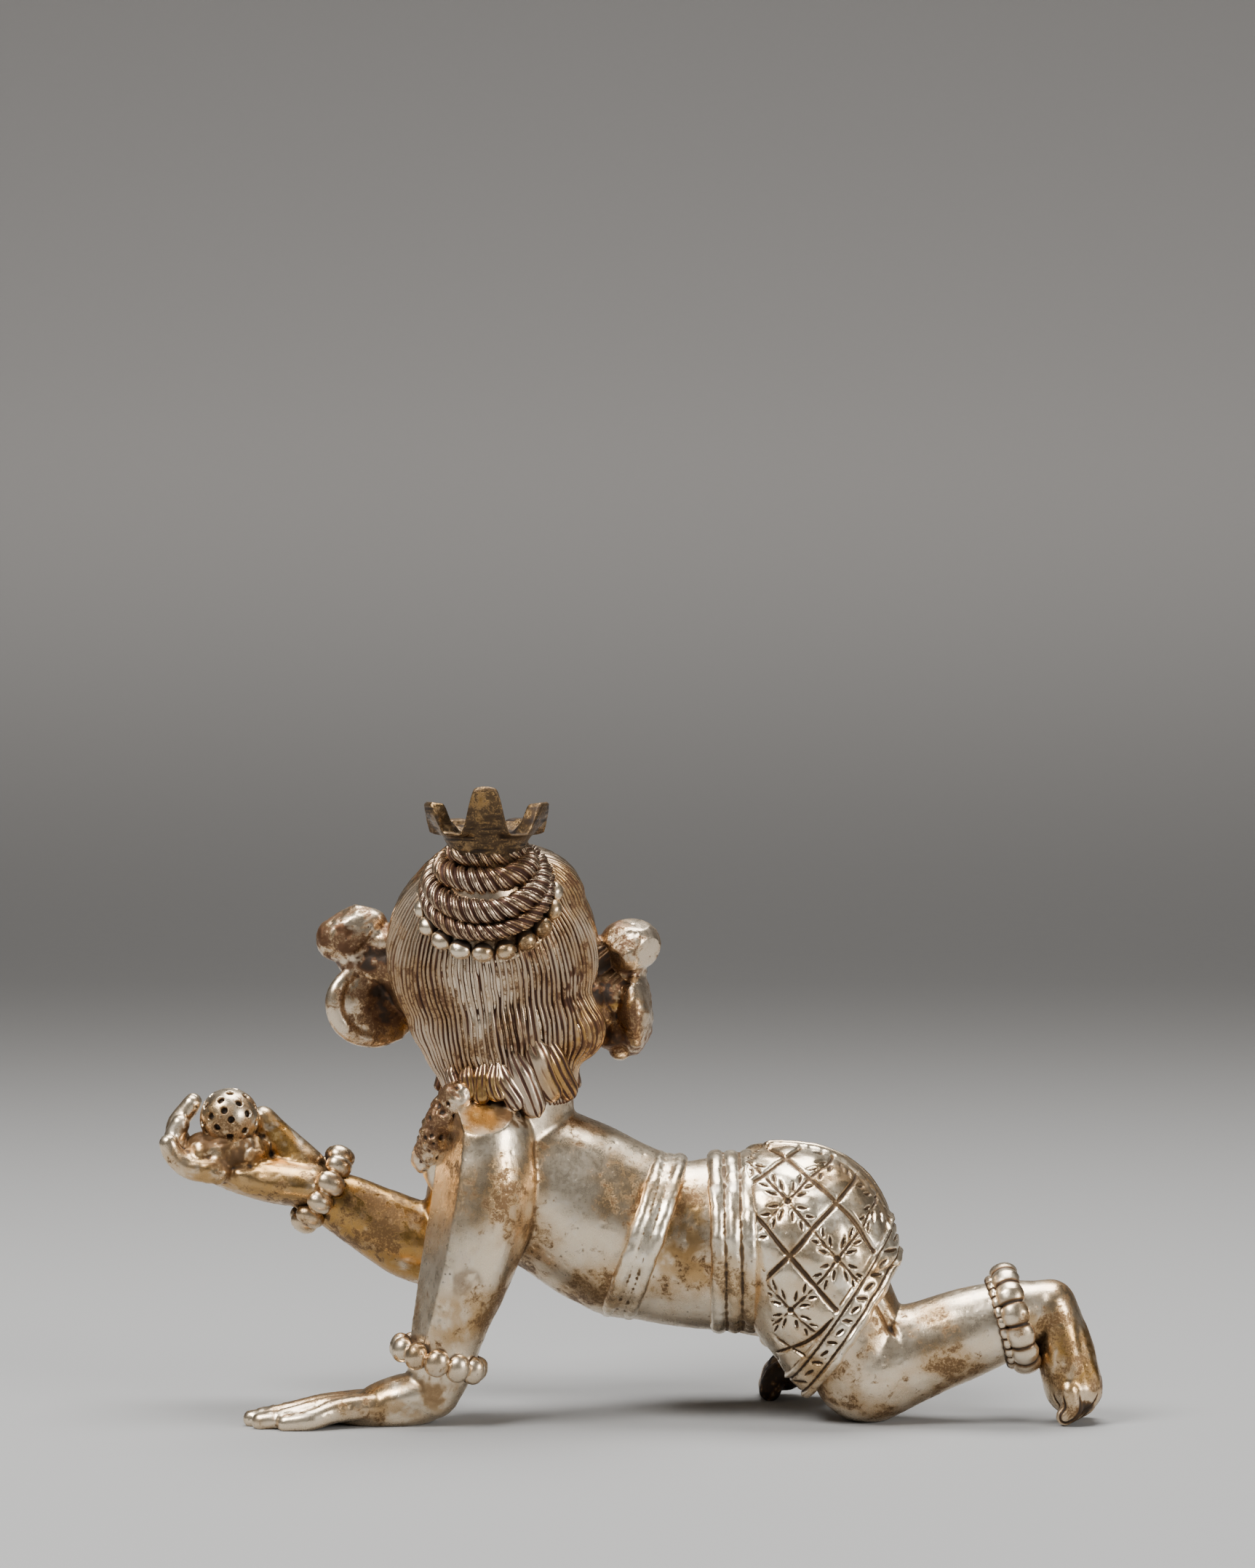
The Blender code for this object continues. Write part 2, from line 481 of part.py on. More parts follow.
def clothes(forms):
    waist = at(7.4, -0.1, 13.6)
    for number in range(3):
        lift = number - 1
        thick = BELT_RIDGE_RADIUS * (1.5 if number != 1 else 1.2)
        hoop(f"band_{number}", at(1.2 + 0.82 * lift, -0.2, 14.35 - 0.1 * lift), Vector((0.945, 0.0, -0.327)),
             TORSO_RADIUS * 0.965, TORSO_RADIUS * 0.885, thick, forms)
    for number in range(3):
        hoop(f"belt_{number}", waist + at(-0.4 + 1.25 * number, 0.0, 0.2), Vector((1.0, 0.0, 0.02)),
             TORSO_RADIUS * (1.05 + 0.02 * number), TORSO_RADIUS * 0.93, BELT_RIDGE_RADIUS * 1.6, forms)
    skirt = [
        (at(11.4, -0.4, 14.0), HIP_RADIUS * 1.06 + CLOTH_THICKNESS),
        (at(13.75, -2.2, 13.85), HIP_RADIUS * 0.99 + CLOTH_THICKNESS),
        (at(15.65, -3.3, 9.7), HIP_RADIUS * 0.86 + CLOTH_THICKNESS),
        (at(18.6, -4.0, 4.8), KNEE_RADIUS * 1.10 + CLOTH_THICKNESS),
    ]
    near = limb("near_cloth", skirt, forms, ends=False)
    trim(near, at(18.0, -4.0, 8.0), Vector((0.83, 0.0, -0.555)))
    across = Vector((0.83, 0.0, -0.555))
    edge = at(18.1, -4.0, 7.9)
    raised = [(point, radius + CLOTH_THICKNESS * 1.1) for point, radius in skirt]
    hem = limb("near_hem", raised, forms, ends=False)
    trim(hem, edge, across)
    trim(hem, edge - across * HEM_WIDTH, -across)
    far = [
        (at(11.4, 0.4, 14.0), HIP_RADIUS * 1.06 + CLOTH_THICKNESS),
        (at(13.75, 2.2, 14.1), HIP_RADIUS * 0.99 + CLOTH_THICKNESS),
        (at(9.8, 4.9, 13.4), HIP_RADIUS * 0.84 + CLOTH_THICKNESS),
        (at(5.4, 6.7, 12.1), KNEE_RADIUS * 1.04 + CLOTH_THICKNESS),
    ]
    wrapped = limb("far_cloth", far, forms, ends=False)
    trim(wrapped, at(7.4, 6.0, 12.8), Vector((-0.93, 0.3, -0.2)))


def garland(forms):
    chest = at(-13.9, -0.2, 21.8)
    for number in range(11):
        angle = math.radians(-75 + 15 * number)
        spot = at(-11.0 - 4.8 * math.cos(angle) ** 0.45, -0.2 + 4.5 * math.sin(angle),
                  27.4 - 6.9 * math.cos(angle))
        bulb(f"garland_{number}", spot, (GARLAND_BEAD_RADIUS,) * 3, forms, rings=8)
        limb(f"garland_tie_{number}", [(spot, GARLAND_BEAD_RADIUS * 0.8), (chest, GARLAND_BEAD_RADIUS)],
             forms)


def joined(name, collection):
    """All forms as one closed skin, thinned to the triangle count and cut flat where it stands."""
    depsgraph = bpy.context.evaluated_depsgraph_get()
    shape = bmesh.new()
    for form in FORMS:
        shape.from_mesh(form.evaluated_get(depsgraph).data)
    mesh = bpy.data.meshes.new(name)
    shape.to_mesh(mesh)
    shape.free()
    for form in FORMS:
        bpy.data.objects.remove(form, do_unlink=True)
    made = bpy.data.objects.new(name, mesh)
    collection.objects.link(made)
    skin = made.modifiers.new("skin", "REMESH")
    skin.mode = "VOXEL"
    skin.voxel_size = VOXEL
    soft = made.modifiers.new("soft", "SMOOTH")
    soft.factor = 0.5
    soft.iterations = 2
    settle(made)
    faces = sum(len(face.vertices) - 2 for face in made.data.polygons)
    thin = made.modifiers.new("thin", "DECIMATE")
    thin.ratio = TRIANGLES / faces
    settle(made)
    floor_mesh = bpy.data.meshes.new("floor_cut")
    block = bmesh.new()
    side = FIGURE_LENGTH * 1.5
    bmesh.ops.create_cube(block, size=side, matrix=Matrix.Translation((0.0, 0.0, FLOOR_TRIM - side / 2)))
    block.to_mesh(floor_mesh)
    block.free()
    return made, floor_mesh


def settle(made):
    """Applies the modifiers of an object."""
    fresh = bpy.data.meshes.new_from_object(made.evaluated_get(bpy.context.evaluated_depsgraph_get()))
    made.modifiers.clear()
    made.data = fresh


def largest_body(made):
    """Drops specks that the skin left loose and keeps the figure."""
    shape = bmesh.new()
    shape.from_mesh(made.data)
    left = set(shape.verts)
    bodies = []
    while left:
        front = [left.pop()]
        body = list(front)
        while front:
            vert = front.pop()
            for edge in vert.link_edges:
                other = edge.other_vert(vert)
                if other in left:
                    left.remove(other)
                    front.append(other)
                    body.append(other)
        bodies.append(body)
    bodies.sort(key=len, reverse=True)
    for body in bodies[1:]:
        bmesh.ops.delete(shape, geom=body, context="VERTS")
    shape.to_mesh(made.data)
    shape.free()
    return len(bodies)


def main():
    clear_scene()
    forms = new_collection("ganesha_figure")
    cutters = new_collection("cutters")
    torso(forms)
    head(forms)
    ears(forms)
    knot_and_crown(forms, cutters)
    near_arm(forms)
    far_arm(forms)
    near_leg(forms)
    far_leg(forms)
    clothes(forms)
    garland(forms)
    statue, floor_mesh = joined("ganesha_statue", forms)
    print("bodies", largest_body(statue))
    floor_cut = bpy.data.objects.new("floor_cut", floor_mesh)
    cutters.objects.link(floor_cut)
    floor_cut.hide_render = True
    floor_cut.display_type = "WIRE"
    cut = statue.modifiers.new("stand", "BOOLEAN")
    cut.object = floor_cut
    cut.operation = "DIFFERENCE"
    cut.solver = "EXACT"
    settle(statue)
    low = min(vert.co.z for vert in statue.data.vertices)
    across = [vertex.co.x for vertex in statue.data.vertices]
    deep = [vertex.co.y for vertex in statue.data.vertices]
    reach = [(min(values), max(values)) for values in (across, deep)]
    shift = Vector((-sum(reach[0]) / 2, -sum(reach[1]) / 2, -low))
    statue.data.transform(Matrix.Translation(shift))
    statue.data.materials.append(silver())
    print("shift", [round(value * 1000, 3) for value in shift])
    print("triangles", sum(len(face.vertices) - 2 for face in statue.data.polygons))


main()
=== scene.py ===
import math
from functools import partial

import bpy
import numpy as np
from mathutils import Matrix, Vector, noise
from mathutils.bvhtree import BVHTree


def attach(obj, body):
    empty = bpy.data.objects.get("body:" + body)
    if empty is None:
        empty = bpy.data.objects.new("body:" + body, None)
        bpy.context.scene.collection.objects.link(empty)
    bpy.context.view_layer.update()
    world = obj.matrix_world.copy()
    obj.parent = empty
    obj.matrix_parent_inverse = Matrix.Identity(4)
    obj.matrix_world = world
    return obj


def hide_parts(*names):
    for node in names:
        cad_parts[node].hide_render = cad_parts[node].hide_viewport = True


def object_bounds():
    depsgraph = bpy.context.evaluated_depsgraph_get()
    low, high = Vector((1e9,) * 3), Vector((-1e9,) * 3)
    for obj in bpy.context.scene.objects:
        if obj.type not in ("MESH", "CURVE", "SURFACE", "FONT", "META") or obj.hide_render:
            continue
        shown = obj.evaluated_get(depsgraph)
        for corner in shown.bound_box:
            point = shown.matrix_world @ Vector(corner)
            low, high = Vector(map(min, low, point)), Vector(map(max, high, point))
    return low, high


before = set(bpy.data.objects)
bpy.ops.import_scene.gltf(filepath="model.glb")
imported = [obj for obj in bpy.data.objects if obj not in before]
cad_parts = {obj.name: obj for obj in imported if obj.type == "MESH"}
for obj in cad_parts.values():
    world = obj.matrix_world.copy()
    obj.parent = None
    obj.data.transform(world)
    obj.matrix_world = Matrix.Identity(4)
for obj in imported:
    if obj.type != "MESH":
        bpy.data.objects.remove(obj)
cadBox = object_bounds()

mm = 0.001
offset = np.array([0.212, -1.313, -0.12])  # from the pose's points to the part's own frame, in mm
statueNode = "ganesha_statue"
lean = Vector((-0.08, -0.75, 0.66)).normalized()  # the way the topknot's base ring faces
knotBase = (-11.0, -3.8, 41.1)
headCentre = (-10.8, 1.2, 36.7)
rng = np.random.default_rng(11)


def clearSelection():
    for found in list(bpy.context.selected_objects):
        found.select_set(False)


def pick(*objects):
    clearSelection()
    for found in objects:
        found.select_set(True)
    bpy.context.view_layer.objects.active = objects[0]


def place(point):
    return Vector([(p + o) * mm for p, o in zip(point, offset)])


def plus(a, b):
    return tuple(p + q for p, q in zip(a, b))


def readPoints(piece):
    flat = np.empty(len(piece.data.vertices) * 3)
    piece.data.vertices.foreach_get("co", flat)
    return flat.reshape(-1, 3) / mm - offset


def writePoints(piece, points):
    piece.data.vertices.foreach_set("co", ((points + offset) * mm).ravel())
    piece.data.update()


def readNormals(piece):
    flat = np.empty(len(piece.data.vertices) * 3)
    piece.data.vertex_normals.foreach_get("vector", flat)
    return flat.reshape(-1, 3)


def fuzz(points, scale, seed=0.0):
    moved = np.asarray(points) * scale + seed * 7.31
    return np.array([noise.noise(p) for p in moved.tolist()])


# the same noise, for coordinates given one by one
def fuzzAt(seed, x, y, z=0.0):
    return fuzz(np.stack(np.broadcast_arrays(x, y, z), 1), 1.0, seed)


def step(low, high, value):
    t = np.clip((value - low) / (high - low), 0.0, 1.0)
    return t * t * (3 - 2 * t)


# a soft band, 1 in its middle
def band(value, middle, width):
    return np.exp(-((value - middle) / width) ** 2)


# 1 on each whole number of t, and 0 from the width on to either side
def grooved(t, width, power):
    return 1 - np.minimum(np.abs(t - np.round(t)) / width, 1.0) ** power


def unit(rows):
    return rows / np.maximum(np.linalg.norm(rows, axis=-1, keepdims=True), 1e-9)


# opens a mesh for editing and runs each step on all of it
def edited(made, *steps):
    pick(made)
    bpy.ops.object.mode_set(mode="EDIT")
    for editStep in steps:
        bpy.ops.mesh.select_all(action="SELECT")
        editStep()
    bpy.ops.object.mode_set(mode="OBJECT")
    return made


def turnOut():
    bpy.ops.mesh.normals_make_consistent(inside=False)


def weld(gap=1e-7):
    bpy.ops.mesh.remove_doubles(threshold=gap)


# adds a modifier with these settings and applies it
def modified(made, kind, **settings):
    pick(made)
    bpy.ops.object.modifier_add(type=kind)
    added = made.modifiers[-1]
    for name, value in settings.items():
        setattr(added, name, value)
    bpy.ops.object.modifier_apply(modifier=added.name)
    return made


# a round swelling, the start of most forms
def bulb(centre, radii, turn=(0, 0, 0), rings=16):
    bpy.ops.mesh.primitive_uv_sphere_add(segments=2 * rings, ring_count=rings, radius=1,
                                         location=place(centre))
    made = bpy.context.active_object
    made.scale = [r * mm for r in radii]
    made.rotation_euler = [math.radians(a) for a in turn]
    bpy.ops.object.transform_apply(location=True, rotation=True, scale=True)
    return made


# a limb swept through stations of (x, y, z, radius), its depth along Y taken to flatness
def limb(stations, flatness=1.0, ends=True, sides=16, turns=12):
    bpy.ops.curve.primitive_bezier_curve_add(location=(0, 0, 0))
    made = bpy.context.active_object
    curve = made.data
    spline = curve.splines[0]
    spline.bezier_points.add(len(stations) - 2)
    for knot, (x, y, z, radius) in zip(spline.bezier_points, stations):
        spot = place((x, y, z))
        knot.co = (spot.x, spot.y / flatness, spot.z)
        knot.radius = radius * mm
        knot.handle_left_type = knot.handle_right_type = "AUTO"
    spline.radius_interpolation = "CARDINAL"
    curve.dimensions = "3D"
    curve.bevel_depth = 1.0
    curve.bevel_resolution = sides
    curve.resolution_u = turns
    curve.use_fill_caps = True
    bpy.ops.object.convert(target="MESH")
    made = bpy.context.active_object
    made.scale = (1, flatness, 1)
    bpy.ops.object.transform_apply(location=True, rotation=True, scale=True)
    edited(made, weld, turnOut)
    if not ends:
        return [made]
    caps = [bulb(s[:3], (s[3], s[3] * flatness, s[3])) for s in (stations[0], stations[-1])]
    return [made, *caps]


def facing(axis):
    return Vector(axis).to_track_quat("Z", "Y")


# a ring round an axis, across in its plane and deep along Y
def hoop(centre, axis, across, deep, thickness):
    bpy.ops.mesh.primitive_torus_add(major_segments=96, minor_segments=14, major_radius=across,
                                     minor_radius=thickness, location=(0, 0, 0))
    made = bpy.context.active_object
    made.scale = (mm, mm * deep / across, mm)
    bpy.ops.object.transform_apply(location=False, rotation=False, scale=True)
    made.rotation_mode = "QUATERNION"
    made.rotation_quaternion = facing(axis)
    made.location = place(centre)
    bpy.ops.object.transform_apply(location=True, rotation=True, scale=True)
    return made


# one bead, shaped once and copied round the ring, each a little different
def beadRing(centre, axis, radius, size, count, long=1.0):
    master = bulb((0, 0, 0), (size * 0.94, size, size * long), rings=10)
    points = readPoints(master)
    writePoints(master, points * (1 - 0.16 * np.abs(points[:, 2:3] / size / long) ** 3))  # blunter ends
    outer = Matrix.Translation(place(centre)) @ facing(axis).to_matrix().to_4x4()
    copies = []
    for number in range(count):
        made = master.copy()
        made.data = master.data.copy()
        bpy.context.scene.collection.objects.link(made)
        swell = 1 + 0.05 * rng.standard_normal(3)
        spin = Matrix.Rotation(math.tau * (number + 0.5) / count, 4, "Z")
        local = spin @ Matrix.Translation((radius * mm, 0, 0)) @ Matrix.Diagonal((*swell, 1))
        made.data.transform(outer @ local @ Matrix.Translation(-place((0, 0, 0))))
        copies.append(made)
    bpy.data.objects.remove(master, do_unlink=True)
    return copies


def joined(objects):
    pick(*objects)
    if len(objects) > 1:
        bpy.ops.object.join()
    return bpy.context.active_object


# many forms made one skin
def fuse(objects, voxel, rounds):
    made = modified(joined(objects), "REMESH", mode="VOXEL", voxel_size=voxel * mm)
    return modified(made, "SMOOTH", factor=0.5, iterations=rounds)


# cuts a form off at a plane and closes it
def cutOff(made, point, outward):
    cutting = partial(bpy.ops.mesh.bisect, plane_co=place(point), plane_no=outward, use_fill=True,
                      clear_outer=True)
    return edited(made, cutting, turnOut)


# a grid whose points are laid by a function of u (across) and v (along), with how deep each is cut
def sheet(columns, rows, laid):
    bpy.ops.mesh.primitive_grid_add(x_subdivisions=columns, y_subdivisions=rows, size=1, location=(0, 0, 0))
    made = bpy.context.active_object
    flat = np.empty(len(made.data.vertices) * 3)
    made.data.vertices.foreach_get("co", flat)
    flat = flat.reshape(-1, 3)
    points, cut = laid(flat[:, 0] + 0.5, flat[:, 1] + 0.5)
    writePoints(made, points)
    store(made, "cut", cut)
    return edited(made, partial(weld, 2e-7))


# points on a ring round an axis, where r is the ring's own thickness at each
def ringPoints(centre, axis, radius, r, around, across, skewed=1.0):
    turn = np.array(facing(axis).to_matrix())
    reach = radius + r * np.cos(across)
    local = np.stack([reach * np.cos(around), reach * np.sin(around), skewed * r * np.sin(across)], 1)
    return np.array(centre) + local @ turn.T


# how far each point sits in a hollow, from its neighbours
def hollows(made, rounds=2):
    mesh = made.data
    points, facings = readPoints(made), readNormals(made)
    ends = np.empty(len(mesh.edges) * 2, dtype=np.int32)
    mesh.edges.foreach_get("vertices", ends)
    a, b = ends.reshape(-1, 2).T
    run = points[b] - points[a]
    length = np.maximum(np.linalg.norm(run, axis=1), 1e-6)
    size = len(points)
    count = np.maximum(np.bincount(a, minlength=size) + np.bincount(b, minlength=size), 1)
    value = np.bincount(a, (run * facings[a]).sum(1) / length, size)
    value += np.bincount(b, (-run * facings[b]).sum(1) / length, size)
    value /= count
    for _ in range(rounds):
        around = (np.bincount(a, value[b], size) + np.bincount(b, value[a], size)) / count
        value = 0.5 * value + 0.5 * around
    return value


# grime with painted shade, gilding and cut depth are kept on the points, for the material to read
def store(made, name, values):
    layer = made.data.attributes.new(name, "FLOAT", "POINT")
    layer.data.foreach_set("value", np.clip(values, 0, 1).astype(np.float32))


def recall(made, name):
    values = np.empty(len(made.data.vertices), dtype=np.float32)
    made.data.attributes[name].data.foreach_get("value", values)
    return values.astype(float)


# the share of its triangles that each piece keeps, once its detail is in
keptShare = {"hair": 0.6, "napeLocks": 0.4, "crown": 0.45, "hipCloth": 0.66, "waistBelts": 0.4,
             "braceletsAndAnklets": 0.7, "sweetBall": 0.4, "garland": 0.8, "knotBeads": 1.0}
usualShare = 0.5


def finishPiece(made, name, material, grimeAndShade=None, gild=None, hollow=5.0, bias=0.0, rounds=2):
    pick(made)
    made.name = name
    made.data.name = name
    low, high = (np.array(corner) / mm - offset for corner in cadBox)
    writePoints(made, np.clip(readPoints(made), low, high))  # no detail stands out past the solid's own box
    bpy.ops.object.shade_smooth()
    # hollows are darkened, partly grime and partly painted shade
    dirtAndShade = hollows(made, rounds) * hollow + bias
    if grimeAndShade is not None:
        dirtAndShade = np.maximum(dirtAndShade, grimeAndShade)
    store(made, "grimeAndShade", dirtAndShade)
    store(made, "gild", np.zeros(len(dirtAndShade)) if gild is None else gild)
    modified(made, "DECIMATE", ratio=keptShare.get(name, usualShare))
    made.data.materials.clear()
    made.data.materials.append(material)
    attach(made, "root")
    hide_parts(statueNode)
    made.data.calc_loop_triangles()
    print(name, len(made.data.loop_triangles), "triangles")


def nearTo(points, zones):
    value = np.zeros(len(points))
    for x, y, z, reach, strength in zones:
        away = np.linalg.norm(points - (x, y, z), axis=1)
        value = np.maximum(value, strength * (1 - step(reach * 0.45, reach, away)))
    return value


# a ragged mask: broad noise with half as much fine noise
def raggedMask(points, low, high, wide, fine, seed, stretch=(1, 1, 1)):
    return step(low, high, fuzz(points * stretch, wide, seed) + 0.5 * fuzz(points, fine, seed + 1))


# a skin pushed in and out by noise, a (height, scale, seed) for each layer
def roughened(points, facings, *layers):
    push = sum(high * fuzz(points, scale, seed) for high, scale, seed in layers)
    return points + facings * push[:, None]


# a skin filed flat where it stands past a plane
def filed(points, zone, spot, normal, reach=0.0, most=math.inf):
    past = (points - spot) @ normal - reach
    return points - normal * np.where(zone & (past > 0), np.minimum(past, most), 0)[:, None]


# small dents and pits pressed into a skin
def pitted(points, facings, count, size, depth, seed):
    picker = np.random.default_rng(seed)
    marks = np.zeros(len(points))
    for spot in picker.choice(len(points), count, replace=False):
        radius = size * picker.uniform(0.5, 1.3)
        near = np.abs(points - points[spot]).max(axis=1) < radius
        away = np.linalg.norm(points[near] - points[spot], axis=1)
        marks[near] = np.maximum(marks[near], 1 - step(0.2, 1.0, away / radius))
    return points - facings * (marks * depth)[:, None], marks


# materials

# links a socket to another, or gives it a plain value
def feed(tree, socket, value):
    if isinstance(value, bpy.types.NodeSocket):
        tree.links.new(value, socket)
    else:
        socket.default_value = value


def addNode(tree, kind, values):
    made = tree.nodes.new(kind)
    for name, value in values.items():
        feed(tree, made.inputs[name], value)
    return made


def mixColour(tree, factor, first, second, blend="MIX"):
    made = tree.nodes.new("ShaderNodeMix")
    made.data_type = "RGBA"
    made.blend_type = blend
    for number, value in ((0, factor), (6, first), (7, second)):
        feed(tree, made.inputs[number], value)
    return made.outputs[2]


def doMath(tree, kind, first, second, clamp=False):
    made = addNode(tree, "ShaderNodeMath", {0: first, 1: second})
    made.operation = kind
    made.use_clamp = clamp
    return made.outputs[0]


def remap(tree, value, low, high, toLow=0.0, toHigh=1.0):
    made = addNode(tree, "ShaderNodeMapRange", {"Value": value, "From Min": low, "From Max": high,
                                                "To Min": toLow, "To Max": toHigh})
    made.interpolation_type = "SMOOTHSTEP"
    return made.outputs["Result"]


def noiseOf(tree, vector, scale, detail, rough, distort=0.0):
    made = addNode(tree, "ShaderNodeTexNoise", {"Vector": vector, "Scale": scale, "Detail": detail,
                                                "Roughness": rough, "Distortion": distort})
    return made.outputs["Fac"]


# worn silver: tarnish patches, hollows darkened with grime and painted shade, yellow gilding, painted
# highlights, pits and fine scratches
def patinaGroup():
    group = bpy.data.node_groups.new("silverPatina", "ShaderNodeTree")
    for way, kind, names in (("INPUT", "Vector", ["Vector"]),
                             ("INPUT", "Float", ["GrimeAndShade", "Gild", "Patches"]),
                             ("INPUT", "Color", ["Metal", "Stain", "Deep"]),
                             ("OUTPUT", "Color", ["Color"]),
                             ("OUTPUT", "Float", ["Roughness", "Metallic", "Height"])):
        for name in names:
            group.interface.new_socket(name=name, in_out=way, socket_type="NodeSocket" + kind)
    inside = group.nodes.new("NodeGroupInput").outputs
    outside = group.nodes.new("NodeGroupOutput").inputs
    times, total, less = (partial(doMath, group, kind) for kind in ("MULTIPLY", "ADD", "SUBTRACT"))
    mixed, ramp, cloud = (partial(tool, group) for tool in (mixColour, remap, noiseOf))
    vector = inside["Vector"]
    wide = cloud(vector, 190, 3, 0.55)
    ragged = cloud(vector, 1000, 9, 0.78, 0.3)
    fine = cloud(vector, 5200, 4, 0.6)
    spots = addNode(group, "ShaderNodeTexVoronoi", {"Vector": vector, "Scale": 1500})
    stretched = addNode(group, "ShaderNodeMapping",
                        {"Vector": vector, "Rotation": (0.3, 0.5, 0.2), "Scale": (1, 1, 0.07)})
    scratch = cloud(stretched.outputs["Vector"], 9000, 3, 0.6)
    # patches: broad noise with a ragged edge, and specks
    level = total(total(times(wide, 0.50), times(ragged, 0.60)), times(inside["Patches"], 0.16))
    patch = times(ramp(level, 0.672, 0.705), ramp(fine, 0.36, 0.50, 0.35, 1.0))
    halo = ramp(level, 0.635, 0.685)
    speck = times(ramp(spots.outputs["Distance"], 0.20, 0.10), ramp(ragged, 0.50, 0.62))
    dirtAndShade = times(ramp(inside["GrimeAndShade"], 0.12, 0.75), ramp(ragged, 0.25, 0.55, 0.55, 1.0))
    # bare metal, browner in places and paler with painted highlights in others, then gilding, stains, and
    # dirt with painted shade over it
    brown = mixed(1.0, inside["Metal"], (0.72, 0.62, 0.50, 1), "MULTIPLY")
    # painted highlight: a paler, bluer copy of the metal, mixed in at random
    paintedHighlight = mixed(1.0, inside["Metal"], (1.12, 1.22, 1.40, 1), "MULTIPLY")
    tint = mixed(ramp(wide, 0.38, 0.62), inside["Metal"], brown)
    tintWithPaintedHighlights = mixed(ramp(ragged, 0.48, 0.66, 0.0, 0.6), tint, paintedHighlight)
    rubbed = mixed(ramp(ragged, 0.54, 0.62), (0.42, 0.235, 0.07, 1), (0.66, 0.44, 0.18, 1))
    gilt = mixed(inside["Gild"], tintWithPaintedHighlights, rubbed)
    edged = mixed(times(halo, 0.68), gilt, (0.40, 0.25, 0.11, 1))
    stained = mixed(times(patch, 0.92), edged, inside["Stain"])
    flecked = mixed(times(speck, 0.75), stained, inside["Deep"])
    # hollows and contacts go to stain and then deep brown: grime and painted shade
    warm = mixed(ramp(dirtAndShade, 0.0, 0.5), flecked, inside["Stain"])
    group.links.new(mixed(ramp(dirtAndShade, 0.35, 1.0), warm, inside["Deep"]), outside["Color"])
    # soiled metal is rougher and less metallic
    soil = doMath(group, "MAXIMUM", times(patch, 0.6), dirtAndShade, True)
    rough = total(ramp(ragged, 0.3, 0.7, 0.20, 0.33), times(soil, 0.30))
    group.links.new(total(rough, times(scratch, 0.06)), outside["Roughness"])
    group.links.new(less(1.0, times(soil, 0.45)), outside["Metallic"])
    bumps = less(total(times(fine, 0.35), times(scratch, 0.35)), times(speck, 0.8))
    group.links.new(less(bumps, times(patch, 0.3)), outside["Height"])
    return group


def silver(name, group, patches, metal=(0.82, 0.68, 0.50, 1), stain=(0.15, 0.080, 0.032, 1),
           deep=(0.035, 0.022, 0.014, 1), bump=0.25):
    made = bpy.data.materials.new(name)
    made.use_nodes = True
    tree = made.node_tree
    shader = tree.nodes["Principled BSDF"]
    where = tree.nodes.new("ShaderNodeTexCoord")
    worn = tree.nodes.new("ShaderNodeGroup")
    worn.node_tree = group
    for socket, value in (("Vector", where.outputs["Object"]), ("Patches", patches), ("Metal", metal),
                          ("Stain", stain), ("Deep", deep)):
        feed(tree, worn.inputs[socket], value)
    for layer, socket in (("grimeAndShade", "GrimeAndShade"), ("gild", "Gild")):
        reader = tree.nodes.new("ShaderNodeAttribute")
        reader.attribute_name = layer
        tree.links.new(reader.outputs["Fac"], worn.inputs[socket])
    pitting = addNode(tree, "ShaderNodeBump", {"Strength": bump, "Distance": 0.00006,
                                               "Height": worn.outputs["Height"]})
    for output, socket in (("Color", "Base Color"), ("Roughness", "Roughness"), ("Metallic", "Metallic")):
        tree.links.new(worn.outputs[output], shader.inputs[socket])
    tree.links.new(pitting.outputs["Normal"], shader.inputs["Normal"])
    return made


clearSelection()
patina = patinaGroup()
skinSilver = silver("wornSilver", patina, 0.52)
hairSilver = silver("hairSilver", patina, 0.46, metal=(0.54, 0.42, 0.30, 1), stain=(0.13, 0.060, 0.030, 1),
                    deep=(0.050, 0.020, 0.012, 1))
# a brighter copy of the same silver for the cloth and belts: painted light on the hips
clothSilverPaintedLight = silver("clothSilverPaintedLight", patina, 0.26, metal=(0.92, 0.79, 0.60, 1),
                     stain=(0.20, 0.125, 0.06, 1), deep=(0.06, 0.035, 0.018, 1))
crownBronze = silver("crownBronze", patina, 0.9, metal=(0.15, 0.098, 0.052, 1),
                     stain=(0.06, 0.036, 0.018, 1), deep=(0.020, 0.012, 0.008, 1), bump=0.5)
earSilver = silver("earSilver", patina, 0.88, metal=(0.76, 0.62, 0.46, 1), stain=(0.13, 0.062, 0.030, 1))
print("materials made")


# body, arms and legs

bodyLook = {
    "voxel": 0.19,
    "torso": 7.2,
    "torsoFlat": 0.88,
    "neck": 5.1,
    "shoulder": 4.2,
    "wrist": 2.6,
    "finger": 0.88,
    "hip": 6.7,
    "knee": 4.4,
    "ankle": 2.9,
    "pit": 0.20,
    "underside": 0.12,  # height that the palms, knee and toes are levelled to
}
fingerTips = ((-26.6, -9.2), (-28.6, -8.2), (-29.4, -6.7), (-28.6, -5.2))


